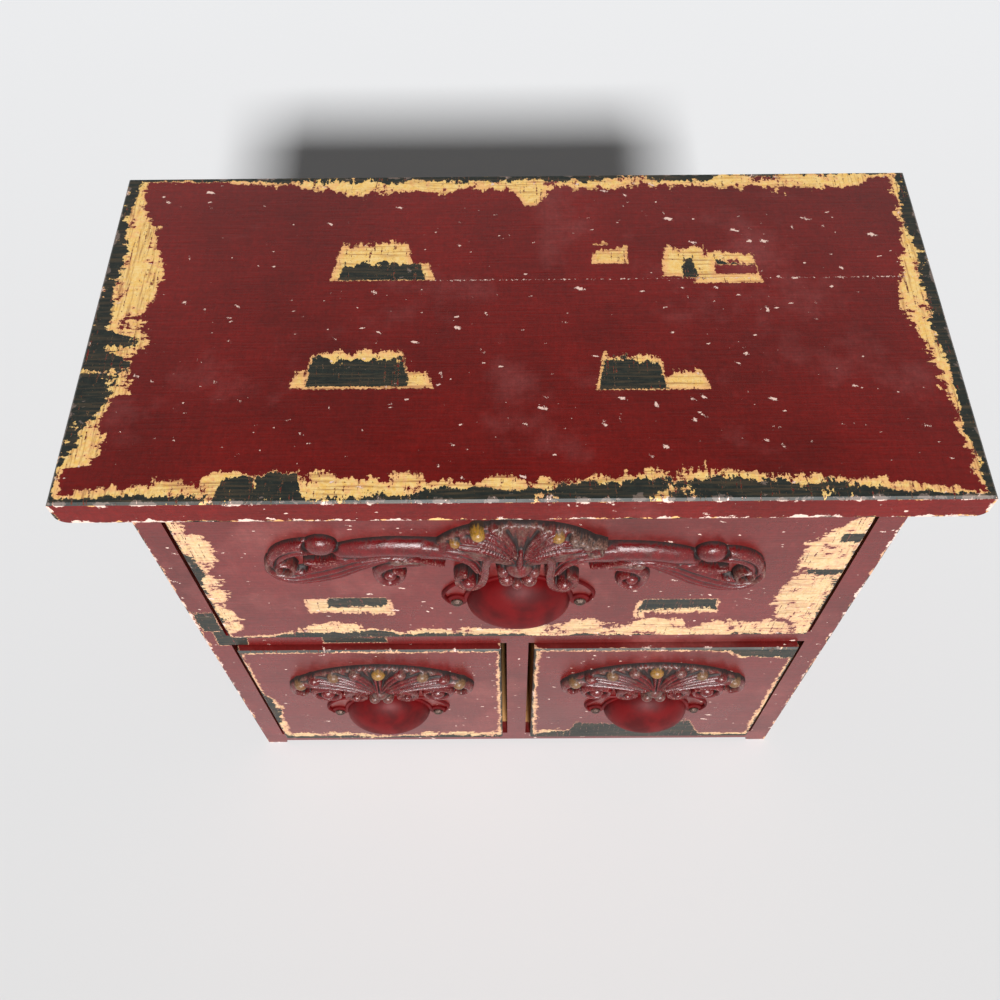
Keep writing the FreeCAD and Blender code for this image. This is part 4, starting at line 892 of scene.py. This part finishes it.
LEFT_MARGINS = {
    "low_u": [(0, 6, 2), (0.08, 5, 1), (0.2, 3.5, 1.4), (0.32, 5, 3.6), (0.44, 7, 5), (0.5, 6, 4),
        (0.56, 1.6, 0.8), (0.8, 2, 0.6), (1, 2, 1)],
    "high_u": [(0, 2.4, 0.6), (0.3, 1.8, 0.6), (0.6, 2.2, 0.8), (1, 1.8, 0.6)],
    "low_v": [
        (0, 9, 4), (0.1, 9.4, 4.4), (0.2, 8.6, 5), (0.36, 9, 4), (0.42, 4, 3), (0.6, 5, 3), (0.64, 9, 4),
        (0.8, 9.6, 4.6), (1, 8, 4)],
    "high_v": [(0, 2, 1), (0.3, 1.6, 0.8), (0.7, 2, 1), (1, 1.6, 0.6)],
}
RIGHT_MARGINS = {
    "low_u": [(0, 3, 1), (0.3, 2.6, 0.8), (0.6, 2, 0.6), (1, 2.4, 0.8)],
    "high_u": [(0, 3, 1), (0.4, 2.6, 0.8), (0.8, 2, 1), (1, 2, 1)],
    "low_v": [(0, 6, 4), (0.08, 12, 8), (0.2, 14, 11), (0.4, 16, 13), (0.7, 14, 12), (0.76, 6, 4), (1, 5, 3)],
    "high_v": [(0, 1.6, 0.8), (0.6, 2, 1), (0.74, 4, 2), (0.8, 8, 7), (0.9, 10, 9), (1, 10, 9)],
}
RIGHT_PATCHES = [
    (24, 62, 14, 36, "green", 0.3), (52, 98, 14, 41, "green", 0.35),
]
CASE_PATCHES = [
    (-84.6, -56.6, 136, 143, "green", 0), (-134.6, -126, 149, 167, "green", 0),
    (-131, -118, 134, 150, "green", 0),
]


def cover(material, *nodes):
    """Gives model nodes their finish."""
    for name in nodes:
        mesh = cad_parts[name].data
        mesh.materials.clear()
        mesh.materials.append(material)


def board_box(*nodes):
    """The box round several boards that wear as one, in millimetres."""
    corners = [span(name) for name in nodes]
    return np.min([low for low, high in corners], 0), np.max([high for low, high in corners], 0)


planks = ("top_front_plank", "top_rear_plank")
cover(rubbed_paint("crimson_oil_paint_on_top", board_box(*planks), "XY", (CRIMSON_TOP, CREAM_TOP),
                   TOP_MARGINS, TOP_PATCHES, edge_gloss=0.16, knocks=2.9, seam=(20.5, -32)), *planks)
# each drawer's wear, and where the rim of its cup is
drawers = {
    "wide_drawer": (WIDE_MARGINS, WIDE_PATCHES, "low", (0, 183.3)),
    "left_drawer": (LEFT_MARGINS, [], "high", (-63.6, 60)),
    "right_drawer": (RIGHT_MARGINS, RIGHT_PATCHES, "high", (63.6, 60)),
}
for drawer, (margins, patches, torn_end, _) in drawers.items():
    node = f"{drawer}_front"
    cover(rubbed_paint(f"crimson_oil_paint_on_{drawer}", board_box(node), "XZ", (CRIMSON_FRONT, CREAM_FRONT_SHADED),
                       margins, patches, torn_end, "back"), node)
cover(rubbed_paint("crimson_oil_paint_on_case", board_box("case_side_left", "case_side_right"), "XZ",
                   (CRIMSON_FRONT, CREAM_FRONT_SHADED), {}, CASE_PATCHES, "high", "inside", 4),
      "case_side_left", "case_side_right", "shelf", "divider", "case_bottom")
pine = bare_softwood("unpainted_pine_of_the_sides", "Y")
cross_pine = bare_softwood("unpainted_pine_of_the_backs", "X")
ply = birch_ply()
for drawer in drawers:
    cover(pine, f"{drawer}_side_left", f"{drawer}_side_right")
    cover(cross_pine, f"{drawer}_back")
    cover(ply, f"{drawer}_bottom")
cover(ply, "back_panel")

casting, enamel, screw = glazed_casting(), glossy_pull(), aged_screw()
swag, crest = carve_swag(), carve_crest()
faces = {drawer: span(f"{drawer}_front")[0][1] for drawer in drawers}
# painted shade: the small drawers' carvings are darkened all over more than the wide one's
for drawer, relief, kind, middle, tilt, ashen, painted_shade_floor, hand in (
        ("wide_drawer", swag, "swag", (0, 225), 3, 36, 0.05, 1),
        ("left_drawer", crest, "crest", (-63.6, 98), 0, 60, 0.26, 1),
        ("right_drawer", crest, "crest", (63.6, 98), 0, 60, 0.26, -1)):
    relief.piece(f"{drawer}_{kind}_carved", middle, faces[drawer], tilt, casting, drawer, f"{drawer}_{kind}",
                 ashen, painted_shade_floor, hand)
for drawer, (_, _, _, (x, rim_z)) in drawers.items():
    cup_pull(f"{drawer}_cup_pull", x, faces[drawer], rim_z, enamel, drawer, f"{drawer}_pull")
    cover(screw, f"{drawer}_pull_screws")


def white_floor(reach):
    """A plain matt white floor, so many metres out on each side."""
    mesh = bpy.data.meshes.new("floor")
    mesh.from_pydata([(-reach, -reach, 0), (reach, -reach, 0), (reach, reach, 0), (-reach, reach, 0)], [],
                     [(0, 1, 2, 3)])
    floor = put("floor", mesh)
    material, add, at, _ = blank("matt_white_floor")
    # painted shade: a little greyer towards the front
    shade = add("MapRange", [add("SeparateXYZ", [at]).outputs[1], -350, 850])
    colour = add("MixRGB", [shade, "#d6d6d6", "#f6f7f9"])
    shader = add("BsdfPrincipled", {"Base Color": colour, "Roughness": 1, "Specular IOR Level": 0})
    add("OutputMaterial", [shader])
    mesh.materials.append(material)


def lamp(name, elevation, azimuth, distance, size, power):
    """A soft oblong lamp that faces the chest, with its sizes and distance in metres; azimuth 0 is in
    front, and positive to the right."""
    data = bpy.data.lights.new(name, "AREA")
    data.shape = "RECTANGLE"
    data.size, data.size_y = size
    data.energy = power
    light = put(name, data)
    up, turn = math.radians(elevation), math.radians(azimuth)
    toward = np.array([math.sin(turn) * math.cos(up), -math.cos(turn) * math.cos(up), math.sin(up)])
    side = np.array([math.cos(turn), math.sin(turn), 0])
    frame_of = np.stack([side, np.cross(toward, side), toward, toward * distance + np.array([0, 0, 0.14])], 1)
    light.matrix_world = Matrix([list(row) for row in frame_of] + [[0, 0, 0, 1]])


def room(dim, seen):
    """Even dim light all round, which the camera sees as pale; a mirror sees a white room below 45
    degrees and a dark ceiling above."""
    world = bpy.data.worlds.new("room")
    bpy.context.scene.world = world
    world.use_nodes = True
    world.node_tree.nodes.clear()
    add = partial(add_node, world.node_tree)
    path = add("LightPath").outputs
    height = add("SeparateXYZ", [add("TexCoord").outputs["Generated"]])
    ceiling = add("MapRange", [height.outputs[2], 0.62, 0.84, 0.7, 0.06])
    mirrored = add("Mix", [path["Is Glossy Ray"], None, dim, ceiling], data_type="FLOAT")
    level = add("Mix", [path["Is Camera Ray"], None, mirrored, seen], data_type="FLOAT")
    add("OutputWorld", [add("Background", {"Color": (1, 1, 1, 1), "Strength": level})])


def camera(pitch, yaw, roll, eye_at, lens):
    """The photograph's viewpoint: its angles in degrees, its place in mm and its lens on a 36 mm sensor."""
    pitch, yaw, roll = (math.radians(angle) for angle in (pitch, yaw, roll))
    ahead = np.array([math.sin(yaw) * math.cos(pitch), math.cos(yaw) * math.cos(pitch), -math.sin(pitch)])
    right = np.array([math.cos(yaw), -math.sin(yaw), 0])
    up = np.cross(right, ahead)
    right, up = math.cos(roll) * right + math.sin(roll) * up, math.cos(roll) * up - math.sin(roll) * right
    data = bpy.data.cameras.new("camera")
    data.sensor_width = 36
    data.lens = lens
    data.clip_start = 0.01
    eye = put("camera", data)
    columns = np.stack([right, up, -ahead, np.array(eye_at) * MM], 1)
    eye.matrix_world = Matrix([list(row) for row in columns] + [[0, 0, 0, 1]])
    bpy.context.scene.camera = eye


white_floor(6)
lamp("window", 36.6, 6, 14, (1.96, 1.36), 3120)
room(0.1, 0.88)
# high in front, looking down at 59 degrees, slightly turned and tilted
camera(58.862, -0.617, -0.964, (-4.70, -241.54, 558.6), 37.488)
bpy.context.scene.view_settings.view_transform = "Standard"
